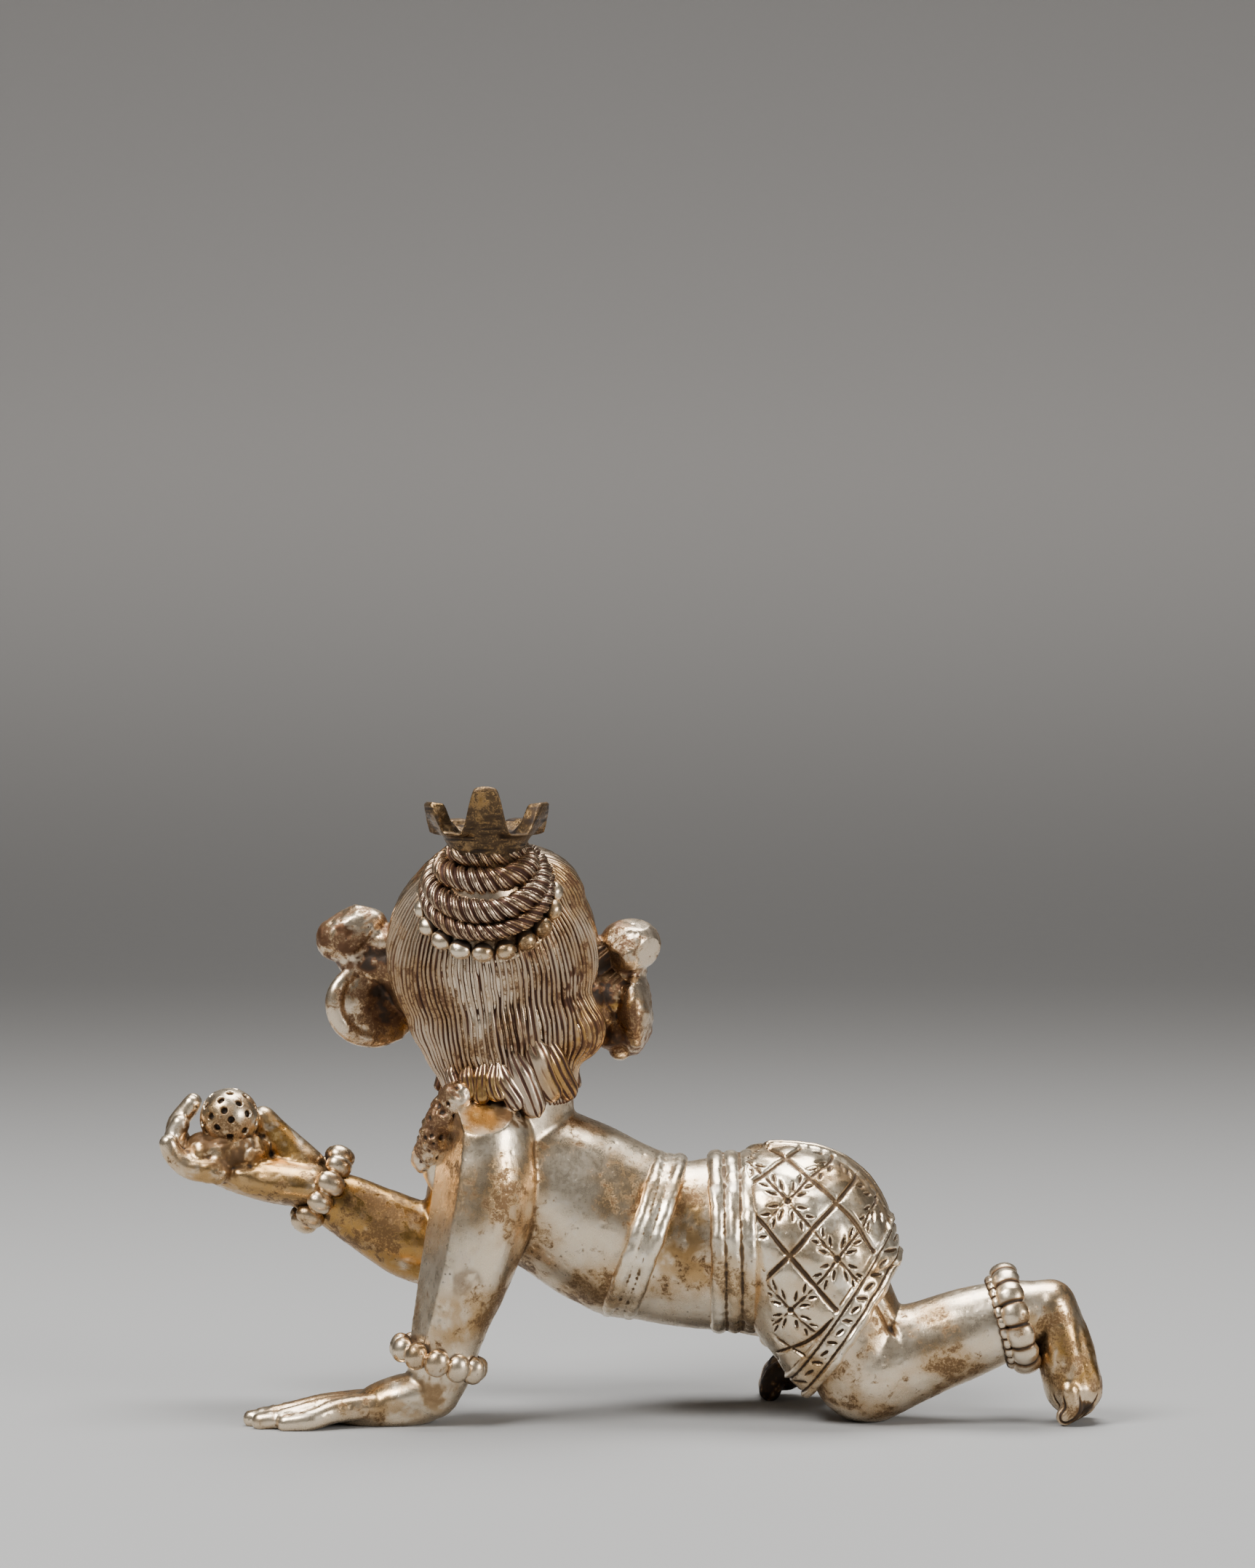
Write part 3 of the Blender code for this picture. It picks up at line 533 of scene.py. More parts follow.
def buildUpperBody():
    b = bodyLook
    t, s, w, f = b["torso"], b["shoulder"], b["wrist"], b["finger"]
    forms = limb([(-12.4, -0.2, 20.6, t * 0.58), (-9.4, -0.2, 19.2, t * 0.84),
                  (-5.4, -0.2, 17.5, t * 0.91), (-1.0, -0.2, 15.1, t * 0.95), (3.2, -0.2, 13.8, t * 0.91),
                  (7.4, -0.1, 13.6, t * 0.95), (12.0, 0.0, 13.8, t * 0.92)], b["torsoFlat"], sides=24)
    forms += [bulb((0.4, -0.2, 13.2), (t * 0.95, t * 0.84, t * 0.77), rings=32)]
    forms += limb([(-9.6, -0.1, 20.0, b["neck"] * 1.05), (-9.4, 0.1, 26.0, b["neck"]),
                   (-9.9, 0.8, 31.5, b["neck"] * 1.2)])
    # propping arm and its hand
    forms += limb([(-11.3, -4.4, 22.0, s * 0.93), (-11.4, -5.0, 18.0, s), (-12.8, -5.5, 12.4, s * 0.90),
                   (-14.2, -5.8, 7.4, w * 1.14), (-14.8, -5.9, 4.4, w), (-15.4, -6.0, 2.8, w * 0.88)])
    forms += [bulb((-19.2, -5.5, 1.25), (4.9, 2.6, 1.6)),
              bulb((-17.5, -5.8, 2.4), (4.2, 2.7, 1.7), (0, -12, 0))]
    for number, (x, y) in enumerate(fingerTips):
        root = (-19.0, -7.3 + 1.15 * number, 1.75)
        middle = ((root[0] + x) / 2, (root[1] + y) / 2, 1.45)
        forms += limb([(*root, f * 1.15), (*middle, f * 1.05), (x + 1.8, y, 0.9, f * 0.94),
                       (x, y, 0.66, f * 0.9)])
    forms += limb([(-16.4, -4.6, 1.4, 1.2), (-20.4, -3.2, 0.9, f), (-23.0, -3.0, 0.7, f * 0.9)])
    # raised arm and its hand
    forms += limb([(-11.6, 4.4, 20.6, s * 0.95), (-12.6, 5.6, 16.0, s * 0.9), (-13.6, 6.2, 12.4, s * 0.8)])
    forms += limb([(-13.4, 6.2, 12.3, s * 0.8), (-17.0, 6.2, 13.1, w * 1.27), (-20.0, 6.2, 14.5, w * 1.12),
                   (-22.7, 6.1, 16.0, w * 0.96), (-25.2, 6.0, 17.2, w * 0.8)])
    forms += limb([(-25.6, 6.0, 17.6, 1.85), (-29.0, 5.9, 18.1, 1.8), (-32.4, 5.8, 18.9, 1.45),
                   (-34.6, 5.7, 19.7, 1.1)], 1.8)
    for number in range(4):
        y = 3.3 + 1.55 * number
        rise = min(number, 2) / 2
        forms += limb([(-32.8, y, 19.0, 1.1), (-35.4, y, 19.5 + 0.6 * rise, 0.95),
                       (-36.4, y, 20.5 + 1.4 * rise, 0.85),
                       (-36.7 + 1.6 * rise, y, 21.2 + 2.9 * rise, 0.78)])
    forms += limb([(-26.0, 6.4, 19.0, 1.7), (-27.8, 6.8, 20.9, 1.4), (-29.4, 7.0, 22.8, 1.1)])
    forms += [bulb((-34.0, 5.4, 20.6), (1.6, 2.6, 1.4)), bulb((-32.0, 5.3, 20.4), (3.2, 2.6, 1.8))]
    made = fuse(forms, b["voxel"], 4)
    points = readPoints(made)
    # the arm was filed flat down its front edge, and again on top of the shoulder
    arm = (points[:, 1] < -1.5) & (points[:, 2] > 6.3) & (points[:, 0] < -6.5)
    for spot, normal, most in (((-14.2, -5.9, 20.0), (-0.906, -0.384, 0.18), 1.4),
                               ((-11.5, -6.3, 24.4), (-0.05, -0.60, 0.80), 1.2)):
        points = filed(points, arm, spot, np.array(normal), most=most)
    # nails pressed in at the finger ends, with a dent behind each
    for x, y in fingerTips:
        nail = np.linalg.norm((points - (x + 0.1, y, 1.4)) * (0.9, 1.3, 1.0), axis=1)
        points[:, 2] -= 0.16 * (1 - step(0.42, 0.6, nail))
        root = np.linalg.norm((points - (x + 1.1, y, 1.55)) * (1.2, 0.9, 0.8), axis=1)
        points[:, 2] -= 0.14 * (1 - step(0.2, 0.5, root))
    writePoints(made, points)
    modified(made, "SMOOTH", factor=0.3, iterations=1)
    points, facings = readPoints(made), readNormals(made)
    points = roughened(points, facings, (0.05, 0.38, 1), (0.012, 2.4, 2))
    inHand = nearTo(points, ((-32.0, 4.6, 20.4, 4.6, 1.0),))
    points += facings * (inHand * 0.16 * fuzz(points, 1.5, 30))[:, None]
    points, _ = pitted(points, facings, 420, b["pit"], 0.06, 5)
    points[:, 2] = np.maximum(points[:, 2], b["underside"])
    writePoints(made, points)
    gild = nearTo(points, ((-11.6, -7.0, 24.5, 2.6, 1.0), (-18.5, 4.5, 14.0, 8.0, 1.0),
                           (-13.6, 4.0, 12.0, 6.5, 0.95), (-27.5, 4.5, 18.0, 5.0, 0.9),
                           (-27.8, 5.0, 21.5, 3.6, 1.0), (-32.5, 3.5, 18.4, 4.4, 0.8),
                           (-13.6, -8.2, 8.6, 3.2, 0.6), (5.0, -6.2, 14.5, 5.2, 0.8),
                           (-18.0, -7.5, 2.4, 3.5, 0.6), (-15.0, -8.0, 3.0, 2.6, 0.7)))
    ragged = raggedMask(points, -0.42, 0.12, 0.9, 3.0, 3)
    gilt = nearTo(points, ((-11.4, -6.6, 24.9, 2.4, 1.0), (-20.0, 5.5, 14.5, 9.0, 1.0),
                           (-29.0, 5.5, 18.0, 5.0, 0.95), (-13.0, 5.5, 15.0, 5.0, 1.0)))
    scuffed = 1 - step(0.32, 0.42, fuzz(points * (1, 1, 1.5), 0.55, 44) + 0.22 * fuzz(points, 4.0, 45))
    gild = np.maximum(gild * ragged, gilt * scuffed)
    # grime and painted shade between the belts, at the neck, round the wrists and in the hand under the ball
    grimeAndShade = nearTo(points, ((4.4, -6.6, 13.5, 3.0, 0.3), (3.6, -5.4, 17.5, 2.4, 0.3),
                            (-15.2, -7.6, 3.3, 2.6, 0.35), (-9.0, -5.6, 24.4, 2.6, 0.45),
                            (-34.5, 3.6, 22.2, 2.2, 0.5), (-32.0, 4.0, 20.6, 3.6, 0.5),
                            (-24.6, 6.1, 17.3, 3.0, 0.55), (1.8, -5.5, 20.0, 1.8, 0.4),
                            (-14.9, -5.8, 5.6, 2.9, 0.45), (-12.6, -8.8, 11.6, 2.2, 0.35)))
    finishPiece(made, "bodyAndArms", skinSilver, grimeAndShade * (0.3 + 0.7 * ragged), gild, 4.5, 0.0)


def buildLegs():
    b = bodyLook
    k, a = b["knee"], b["ankle"]
    forms = limb([(13.5, -2.4, 14.1, b["hip"] * 0.88), (15.5, -3.4, 9.8, b["hip"] * 0.78),
                  (18.7, -4.0, 4.6, k)])
    forms += limb([(18.8, -4.0, 4.35, k), (23.0, -4.2, 5.75, k * 0.86), (27.2, -4.4, 7.3, k * 0.79),
                   (30.6, -4.6, 8.5, a), (32.6, -4.7, 9.0, a * 0.8)])
    forms += limb([(33.1, -4.7, 9.3, 2.05), (34.2, -4.8, 6.0, 2.3), (34.95, -4.9, 3.0, 2.35)], 1.15)
    for number in range(5):
        x, y = 34.5 + 0.38 * number, -7.1 + 1.05 * number
        forms += limb([(x, y, 2.9, 0.85), (x + 0.1, y, 1.4, 0.82), (x - 0.4, y, 0.9, 0.74)])
    forms += limb([(13.5, 2.4, 14.2, b["hip"] * 0.88), (9.6, 5.0, 13.4, b["hip"] * 0.74),
                   (5.2, 6.8, 12.0, k * 0.94)])
    forms += limb([(5.2, 6.8, 11.8, k * 0.93), (9.2, 7.2, 9.0, k * 0.78), (13.2, 7.5, 6.8, a * 0.84),
                   (15.0, 7.6, 5.0, a * 0.72)])
    forms += limb([(15.8, 7.8, 4.6, 2.0), (13.9, 8.1, 3.1, 1.8), (12.7, 8.3, 2.3, 1.6)], 1.25)
    for number in range(5):
        y = 6.7 + 0.85 * number
        forms += limb([(13.2, y, 2.4, 0.95), (12.0, y, 2.2, 0.95), (11.4, y, 0.95, 0.9)])
    made = fuse(forms, b["voxel"] * 0.9, 3)
    points, facings = readPoints(made), readNormals(made)
    # a sharp crease folds in behind the knee, and toes are parted by narrow slits
    away = np.abs((points[:, 0] - 20.6) + (points[:, 2] - 7.6) * 0.55)
    bend = (points[:, 2] < 12) * (points[:, 1] < 1)
    crease = (1 - step(0.0, 0.55, away)) * step(6.4, 8.0, points[:, 2]) * bend
    fold = (1 - step(0.0, 2.6, away)) * step(6.0, 9.0, points[:, 2]) * bend
    points -= facings * (0.34 * crease - 0.22 * fold)[:, None]
    row = (points[:, 1] + 7.1) / 1.05 - 0.5
    toes = (points[:, 0] > 33) * (1 - step(2.0, 3.2, points[:, 2])) * (points[:, 1] < -2.4)
    parted = toes * (1 - step(0.0, 0.16, np.abs(row - np.round(row))))
    points -= facings * (0.14 * parted)[:, None]
    # the sole is worn in long dents
    sole = step(34.4, 35.4, points[:, 0]) * step(2.6, 3.6, points[:, 2]) * (1 - step(8.0, 9.0, points[:, 2]))
    points -= facings * (0.16 * sole * (0.5 + fuzz(points * (1, 1, 0.3), 1.0, 27)))[:, None]
    points = roughened(points, facings, (0.04, 0.42, 6), (0.012, 2.4, 7))
    points, _ = pitted(points, facings, 300, b["pit"], 0.055, 8)
    points[:, 2] = np.maximum(points[:, 2], b["underside"])
    writePoints(made, points)
    gild = nearTo(points, ((35.0, -6.2, 5.5, 4.0, 1.0), (13.2, 6.2, 4.2, 3.6, 1.0),
                           (31.6, -7.0, 8.0, 1.6, 0.7)))
    ragged = raggedMask(points, -0.42, 0.15, 1.3, 3.4, 9, (1, 1, 0.45))
    # grime and painted shade where the toes and far foot meet the floor, at the anklets, under the knee and
    # in the toe slits
    grimeAndShade = nearTo(points, ((35.2, -6.4, 1.2, 2.2, 0.6), (12.0, 7.0, 2.0, 3.6, 0.9),
                            (31.6, -4.8, 8.0, 3.2, 0.45), (14.6, 6.0, 5.0, 3.6, 0.7),
                            (21.6, -6.0, 3.0, 3.4, 0.22)))
    grimeAndShade = np.maximum(grimeAndShade * (0.4 + 0.6 * ragged), 0.9 * parted)
    finishPiece(made, "bareLegs", skinSilver, grimeAndShade, gild * ragged, 4.5)


buildUpperBody()
buildLegs()
print("body done")


# head: skull, face, trunk and ears

headLook = {
    "width": 8.3,
    "depth": 8.0,
    "height": 8.7,
    "trunkRoot": 2.9,
    "trunkTip": 1.3,
    "tusk": 0.65,
    "voxel": 0.17,
    "pit": 0.20,
}
earRoll = (0.15, 2.0, 37.2)  # middle of the upper roll of the ear on the right


def headCore():
    h = headLook
    size = (h["width"], h["depth"], h["height"])
    forms = [bulb(headCentre, size, rings=32), bulb(plus(headCentre, (0.4, -0.6, 4.2)),
                                                    (size[0] * 0.83, size[1] * 0.80, size[2] * 0.53),
                                                    rings=24), bulb(plus(headCentre, (0.8, -0.7, -5.0)),
                                                                    (size[0] * 0.90, size[1] * 0.76,
                                                                     size[2] * 0.56)),
                                                                     bulb(plus(headCentre,
                                                                               (5.4, -0.8, -6.0)),
                                                                               (size[0] * 0.42,
                                                                                size[1] * 0.5,
                                                                                size[2] * 0.34))]
    n = bodyLook["neck"]
    forms += limb([(-9.6, -0.1, 20.0, n * 1.05), (-9.4, 0.1, 26.0, n), (-9.9, 0.8, 31.5, n * 1.34)])
    return forms


def earForms():
    forms = [bulb((-22.0, 2.4, 38.1), (3.0, 1.9, 2.0), (0, -26, 0))]
    forms += limb([(-16.5, 1.8, 38.0, 1.6), (-20.6, 2.2, 37.2, 1.3)])
    forms += [bulb((-20.0, 3.0, 32.6), (3.9, 1.2, 3.5), (0, 0, 24))]
    forms += limb([(-16.2, 2.4, 34.2, 3.0), (-18.6, 2.8, 35.4, 2.2), (-21.6, 2.6, 36.1, 1.6)])
    rim = []
    for turn, thick in ((125, 0.6), (155, 0.7), (190, 0.75), (230, 0.75), (265, 0.65), (300, 0.5)):
        x = 3.35 * math.cos(math.radians(turn))
        rim.append((-20.0 + x, 2.7 + 0.445 * x, 32.6 + 3.0 * math.sin(math.radians(turn)), thick))
    forms += limb(rim)
    forms += [bulb(earRoll, (2.46, 2.5, 2.12))]
    forms += limb([(-5.0, 1.6, 36.6, 1.8), (-0.6, 2.0, 36.4, 1.3)])
    forms += [bulb((0.45, 3.4, 31.8), (1.5, 3.75, 3.5))]
    forms += limb([(-4.2, 2.6, 32.4, 3.4), (-1.8, 3.2, 33.4, 2.8), (0.1, 3.0, 35.0, 1.4)])
    forms += [bulb((-1.3, 3.0, 30.7), (2.28, 2.18, 1.96))]
    forms += limb([(0.1, 3.0, 29.8, 1.2), (-0.7, 3.0, 28.8, 0.9)])
    return forms


def buildHead():
    h = headLook
    forms = headCore() + earForms()
    for side in (-1, 1):
        forms += [bulb(plus(headCentre, (3.0 * side, 5.6, 3.6)), (3.4, 2.6, 3.4)),
                  bulb(plus(headCentre, (3.6 * side, 5.4, -3.2)), (3.0, 2.6, 3.4)),
                  bulb(plus(headCentre, (4.1 * side, 6.6, 0.6)), (1.15, 0.8, 0.75), rings=10)]
        reach = 3.6 if side < 0 else 1.6
        root = plus(headCentre, (3.0 * side, 7.0, -4.6))
        tip = plus(root, (0.1 * side * reach, 0.72 * reach, -0.68 * reach))
        forms += limb([(*root, h["tusk"] * 1.25), (*tip, h["tusk"])])
    r, t = h["trunkRoot"], h["trunkTip"]
    path = ((0.0, 5.4, 1.4, r), (0.0, 8.2, -2.0, r * 0.88), (0.2, 9.4, -6.2, r * 0.72),
            (0.4, 9.2, -10.2, r * 0.6), (-0.4, 8.9, -13.0, t * 1.15), (-2.4, 8.7, -13.9, t),
            (-3.4, 8.6, -12.3, t * 0.9))
    forms += limb([(*plus(headCentre, p[:3]), p[3]) for p in path], turns=14)
    made = fuse(forms, h["voxel"], 3)
    points, facings = readPoints(made), readNormals(made)
    # ring folds down the trunk
    trunk = step(7.6, 8.6, points[:, 1]) * (points[:, 2] < 37) * (np.abs(points[:, 0] + 11.5) < 4.5)
    folds = np.abs(np.sin(points[:, 2] * math.pi / 0.85)) ** 0.6
    points -= facings * (trunk * 0.11 * (1 - folds))[:, None]
    # eyes: a lid line round each
    for side in (-1, 1):
        eye = points - plus(headCentre, (4.1 * side, 7.0, 0.6))
        away = np.sqrt((eye[:, 0] / 1.35) ** 2 + (eye[:, 2] / 0.85) ** 2 + (eye[:, 1] / 2.5) ** 2)
        points -= facings * (0.16 * band(away, 1.0, 0.16) + 0.18 * (1 - step(0.16, 0.3, away)))[:, None]
    # ears: dished lobes and lumpy rolls
    left = points - (-18.9, 2.4, 32.3)
    dish = 1 - step(0.25, 1.0, np.sqrt((left[:, 0] / 3.2) ** 2 + (left[:, 2] / 2.7) ** 2))
    dish = dish * (facings[:, 1] < -0.1) * (points[:, 1] > 0.4)
    right = points - (-2.4, 0.6, 31.6)
    dishRight = (1 - step(0.3, 1.0, np.linalg.norm(right / (2.4, 2.6, 3.2), axis=1))) * (facings[:, 1] < 0.3)
    creases = 1 - np.abs(np.sin(points[:, 0] * 2.6 + points[:, 2] * 0.9 + 1.2 * fuzz(points, 0.5, 19)))
    points += np.array((0.0, 1.0, 0.0)) * (0.35 * dish + (0.7 + 0.3 * creases) * dishRight)[:, None]
    lumps = nearTo(points, ((-22.1, 2.4, 37.9, 4.2, 1.0), (0.1, 2.0, 37.2, 3.6, 0.5),
                            (-20, 3, 32.6, 5.2, 0.4), (0.4, 3.4, 31.8, 5.0, 0.8)))
    points += facings * (lumps * (0.34 * fuzz(points, 0.62, 12) + 0.09 * fuzz(points, 2.4, 13)))[:, None]
    points = roughened(points, facings, (0.03, 0.6, 14))
    # the upper roll of the ear on the right is filed in flat faces
    for *way, reach in ((-0.25, -0.9, 0.35, 2.0), (0.7, -0.6, -0.3, 2.0), (-0.7, -0.5, -0.5, 2.0),
                        (0.1, -0.3, 0.95, 1.85)):
        roll = np.linalg.norm(points - earRoll, axis=1) < 3.4
        points = filed(points, roll, earRoll, unit(np.array(way)), reach)
    points, _ = pitted(points, facings, 620, h["pit"], 0.08, 15)
    writePoints(made, points)
    ragged = raggedMask(points, -0.3, 0.3, 1.0, 3.2, 16)
    gild = nearTo(points, ((-18.0, 2.0, 32.0, 3.6, 1.0), (-2.2, 1.2, 31.6, 4.4, 1.0),
                           (-1.6, 1.0, 34.6, 2.4, 0.9), (-18.6, 1.0, 35.6, 2.6, 0.6),
                           (-10.8, 8.0, 38.0, 3.0, 0.35)))
    # grime and painted shade in the ear hollows, behind the ears and under the ear rolls
    grimeAndShade = nearTo(points, ((-19.2, 2.4, 32.6, 2.6, 0.75), (-23.2, 1.2, 37.2, 3.6, 0.45),
                            (-3.2, 0.2, 34.8, 2.4, 0.9), (-1.6, 0.2, 33.6, 1.8, 0.8),
                            (-18.6, 0.6, 37.0, 2.4, 0.7), (-1.4, 0.6, 29.6, 2.0, 0.6),
                            (-20.6, 1.2, 36.2, 1.6, 0.7)))
    finishPiece(made, "headAndEars", earSilver, grimeAndShade * (0.35 + 0.65 * ragged),
                gild * (0.3 + 0.7 * ragged), 4.0)


buildHead()
print("head done")


# hair: one carved sheet of strands from the bead ring down to the nape

hairLook = {
    "strands": 92,
    "perStrand": 9,
    "rows": 96,
    "groove": 0.27,
    "lift": 0.22,
    "ring": 4.9,
}


def buildHair():
    look = hairLook
    core = fuse(headCore(), 0.35, 3)
    mesh = core.data
    tree = BVHTree.FromPolygons([v.co.copy() for v in mesh.vertices],
                                [tuple(p.vertices) for p in mesh.polygons])
    ringSide = (Vector((1, 0, 0)) - lean * lean.x).normalized()
    ringUp = np.array(lean.cross(ringSide))
    ringSide = np.array(ringSide)
    middle = np.array(headCentre)
    # where the sheet's edge lies and what it faces, by degrees round from the nape to the brow
    turnAt = [0, 40, 75, 100, 118, 138, 158, 180]
    endX = [0, 3.6, 5.2, 5.6, 7.0, 8.0, 5.6, 0]
    endY = [-5.6, -4.3, -1.4, 0.8, 3.2, 4.8, 6.9, 7.6]
    endZ = [24.4, 24.4, 24.7, 25.8, 30.0, 37.5, 42.0, 43.6]
    aimX = [-9.5, -9.5, -9.5, -9.7, -10.6, -10.8, -10.8, -10.8]
    aimZ = [27.0, 27.0, 27.0, 28.0, 33.0, 36.7, 36.7, 36.7]

    def laid(u, v):
        w = (u - 0.5) * 2
        bend = 0.009 * fuzzAt(20, u * 7, v * 2.4) + 0.003 * fuzzAt(21, u * 40, v * 9)
        w = w + 2 * bend * step(0.02, 0.3, v)
        s = np.clip(w + 0.12 * np.sin(math.pi * w), -1, 1)  # strands lie closer at the sides
        side = np.sign(s)
        a = np.abs(s) * 180
        turn = np.abs(s) * math.pi
        rim = (side * np.sin(turn))[:, None] * ringSide - np.cos(turn)[:, None] * ringUp
        start = np.array(knotBase) + look["ring"] * rim
        end = np.stack([np.interp(a, turnAt, aimX) + side * np.interp(a, turnAt, endX),
                        np.interp(a, turnAt, endY), np.interp(a, turnAt, endZ)], 1)
        aimEnd = np.stack([np.interp(a, turnAt, aimX), 0.2 + 0 * a, np.interp(a, turnAt, aimZ)], 1)
        aim = middle + (aimEnd - middle) * (v ** 1.35)[:, None]
        toward = unit(unit(start - middle) * (1 - v)[:, None] + unit(end - aimEnd) * v[:, None])
        # strand profile: worn tops with chiselled grooves between, which come and go
        t = u * look["strands"]
        strand = np.floor(t + 0.5)
        width = 0.35 + 0.08 * fuzzAt(25, strand * 1.7, v * 6)
        come = np.clip(0.88 + 0.8 * fuzzAt(22, strand * 1.73, v * 6.0), 0.3, 1.2)
        groove = grooved(t, width, 1.6) * come * step(0.0, 0.05, v)
        deeper = (np.sin(strand * 2.4) > 0.75) * 0.12 * step(0.1, 0.4, v)
        ridge = 0.10 * fuzzAt(23, np.floor(t) * 2.1, v * 3.0)
        deeper += 0.10 * step(70, 110, a)
        lift = look["lift"] + ridge - groove * (look["groove"] + deeper)
        lift -= 0.5 * step(0.965, 1.0, v) + 0.25 * (1 - step(0.0, 0.02, v))
        lift += 0.14 * fuzzAt(24, u * 14, v * 3.2)
        out = np.empty((len(u), 3))
        for i, (source, way) in enumerate(zip(aim.tolist(), toward.tolist())):
            hit = tree.ray_cast(place(source), Vector(way))[0]
            out[i] = np.array(hit) / mm - offset if hit else source
        return out + toward * lift[:, None], np.maximum(groove, step(0.93, 1.0, v) * 0.8)

    made = sheet(look["strands"] * look["perStrand"], look["rows"], laid)
    bpy.data.objects.remove(core, do_unlink=True)
    points = readPoints(edited(made, turnOut))
    if (readNormals(made) * unit(points - middle)).sum() < 0:  # an open sheet can come out inside out
        edited(made, bpy.ops.mesh.flip_normals)
    # grime and painted shade at the nape, behind and under the ears, under the topknot and in the carved
    # grooves
    grimeAndShade = nearTo(points, ((-8.0, -5.2, 30.0, 3.0, 0.4), (-3.6, -3.8, 34.0, 3.0, 0.6),
                            (-2.6, -1.0, 30.6, 3.2, 0.4), (-11.0, -1.0, 44.0, 4.5, 0.45),
                            (-17.6, -1.0, 36.0, 3.0, 0.35)))
    gild = nearTo(points, ((-11.5, -5.0, 26.0, 3.2, 0.9), (-3.0, -2.0, 30.5, 4.2, 1.0),
                           (-16.0, -1.8, 33.0, 2.4, 0.5), (-5.0, -3.0, 41.5, 3.2, 0.5)))
    ragged = raggedMask(points, -0.3, 0.3, 1.4, 4.0, 18)
    grimeAndShade = np.maximum(grimeAndShade * ragged, 0.95 * recall(made, "cut"))
    finishPiece(made, "hair", hairSilver, grimeAndShade, gild * (0.35 + 0.65 * ragged), 5.0, 0.04, 0)


# short locks that end over the shoulders, each with its own strands
lockLook = {
    "strands": 5,
    "perStrand": 10,
    "rows": 48,
    "groove": 0.10,
    # start, end (x, height), width and thickness
    "locks": (((-14.1, 28.4), (-13.6, 25.4), 0.75, 0.45), ((-12.9, 28.2), (-12.4, 24.9), 0.8, 0.5),
              ((-11.8, 28.4), (-11.3, 24.7), 0.8, 0.5), ((-10.7, 28.2), (-10.1, 24.9), 0.8, 0.5),
              ((-10.3, 28.4), (-8.5, 24.2), 0.95, 0.65), ((-9.2, 29.6), (-7.0, 23.7), 1.05, 0.75),
              ((-8.0, 30.8), (-5.6, 24.9), 1.15, 0.8), ((-6.4, 30.4), (-4.5, 24.8), 1.1, 0.75)),
    "sideLocks": (((-14.6, 1.4), 28.4, 25.6), ((-14.1, 3.4), 28.2, 25.7), ((-4.6, 1.6), 28.6, 25.7),
                  ((-5.3, 3.6), 28.4, 25.6)),
}


def buildLocks():
    look = lockLook
    middle = np.array((-9.5, -0.1))
    pieces = []

    def oneLock(along, width, thick, seed):
        def laid(u, v):
            turn = u * math.tau
            nextV = np.minimum(v + 0.02, 1.02)
            centre = np.stack([np.interp(v, [0, 0.5, 1], axis) for axis in zip(*along)], 1)
            nearby = np.stack([np.interp(nextV, [0, 0.5, 1.02], axis) for axis in zip(*along)], 1)
            run = unit(nearby - centre + 1e-9)
            outward = unit(np.concatenate([centre[:, :2] - middle, 0 * centre[:, :1]], 1))
            across = unit(np.cross(run, outward))
            end = np.sqrt(np.clip(1 - (np.maximum(v - 0.80, 0) / 0.2) ** 2, 0, 1))
            taper = end * (0.5 + 0.5 * step(0, 0.4, v)) * step(-0.01, 0.05, v)
            t = u * look["strands"] * 2
            come = np.clip(0.8 + 0.9 * fuzzAt(36, np.round(t) * 2.1, v * 4, seed), 0.2, 1.1)
            groove = grooved(t, 0.3, 1.5) * come
            swell = 1 - groove * look["groove"] / thick
            wave = 0.14 * np.sin(v * 5 + seed)
            high = thick * taper * swell * step(-0.1, 0.6, v + 0.2)
            sunk = 0.5 * (1 - step(0, 0.45, v))
            out = np.sin(turn) * high - sunk
            sideways = np.cos(turn) * width * taper + wave
            laidOut = centre + across * sideways[:, None] + outward * out[:, None]
            return laidOut, np.maximum(groove, 0.45 * (np.abs(np.cos(turn)) > 0.92))
        return sheet(look["strands"] * 2 * look["perStrand"], look["rows"], laid)

    for number, (begin, finish, width, thick) in enumerate(look["locks"]):
        along = []
        for share in (0.0, 0.55, 1.0):
            x = begin[0] + (finish[0] - begin[0]) * share ** 1.2
            z = begin[1] + (finish[1] - begin[1]) * share
            radius = 5.25 + 0.25 * share + 0.1 * (number % 2) + 0.4 * max(z - 27.5, 0) / 2
            y = middle[1] - math.sqrt(max(radius ** 2 - (x - middle[0]) ** 2, 0.5))
            along.append((x, y, z + 0.5))
        pieces.append(oneLock(along, width, thick, number * 1.7))
    for number, ((x, y), top, low) in enumerate(look["sideLocks"]):
        way = unit(np.array((x, y)) - middle)
        outX, outY = x + 0.3 * way[0], y + 0.3 * way[1]
        along = [(outX, outY, top), (x, y, (top + low) / 2), (outX, outY, low)]
        pieces.append(oneLock(along, 1.1, 0.6, number * 2.3))
    made = edited(joined(pieces), turnOut)
    points = readPoints(made)
    gild = nearTo(points, ((-11.8, -6.0, 26.0, 3.0, 0.9), (-5.4, -3.5, 27.5, 3.2, 0.9)))
    # the grooves and the locks' sides against the head get grime and painted shade
    finishPiece(made, "napeLocks", hairSilver, 0.95 * recall(made, "cut"), gild, 4.0, 0.04, 0)


buildHair()
buildLocks()
print("hair done")


# topknot: a small dome wrapped by twisted coils, with a bead ring at its base

knotLook = {
    "ring": 5.15,
    "bead": 0.86,
    "beads": 18,
    "height": 3.9,
    "coil": 0.95,
    # of each coil: how far up it lies, its share of the ring's radius, its twists and its thickness
    "coils": ((0.12, 0.92, 11, 0.74), (0.30, 0.81, 9, 1.05), (0.56, 0.62, 7, 1.12), (0.82, 0.45, 5, 0.98)),
}


# grime and painted shade on the inner side of a ring of beads
def innerGrimeAndShade(points, centre, axis, radius, low, high):
    out = np.linalg.norm(np.cross(points - np.array(centre), np.array(axis)), axis=1)
    return 1 - step(radius * low, radius * high, out)


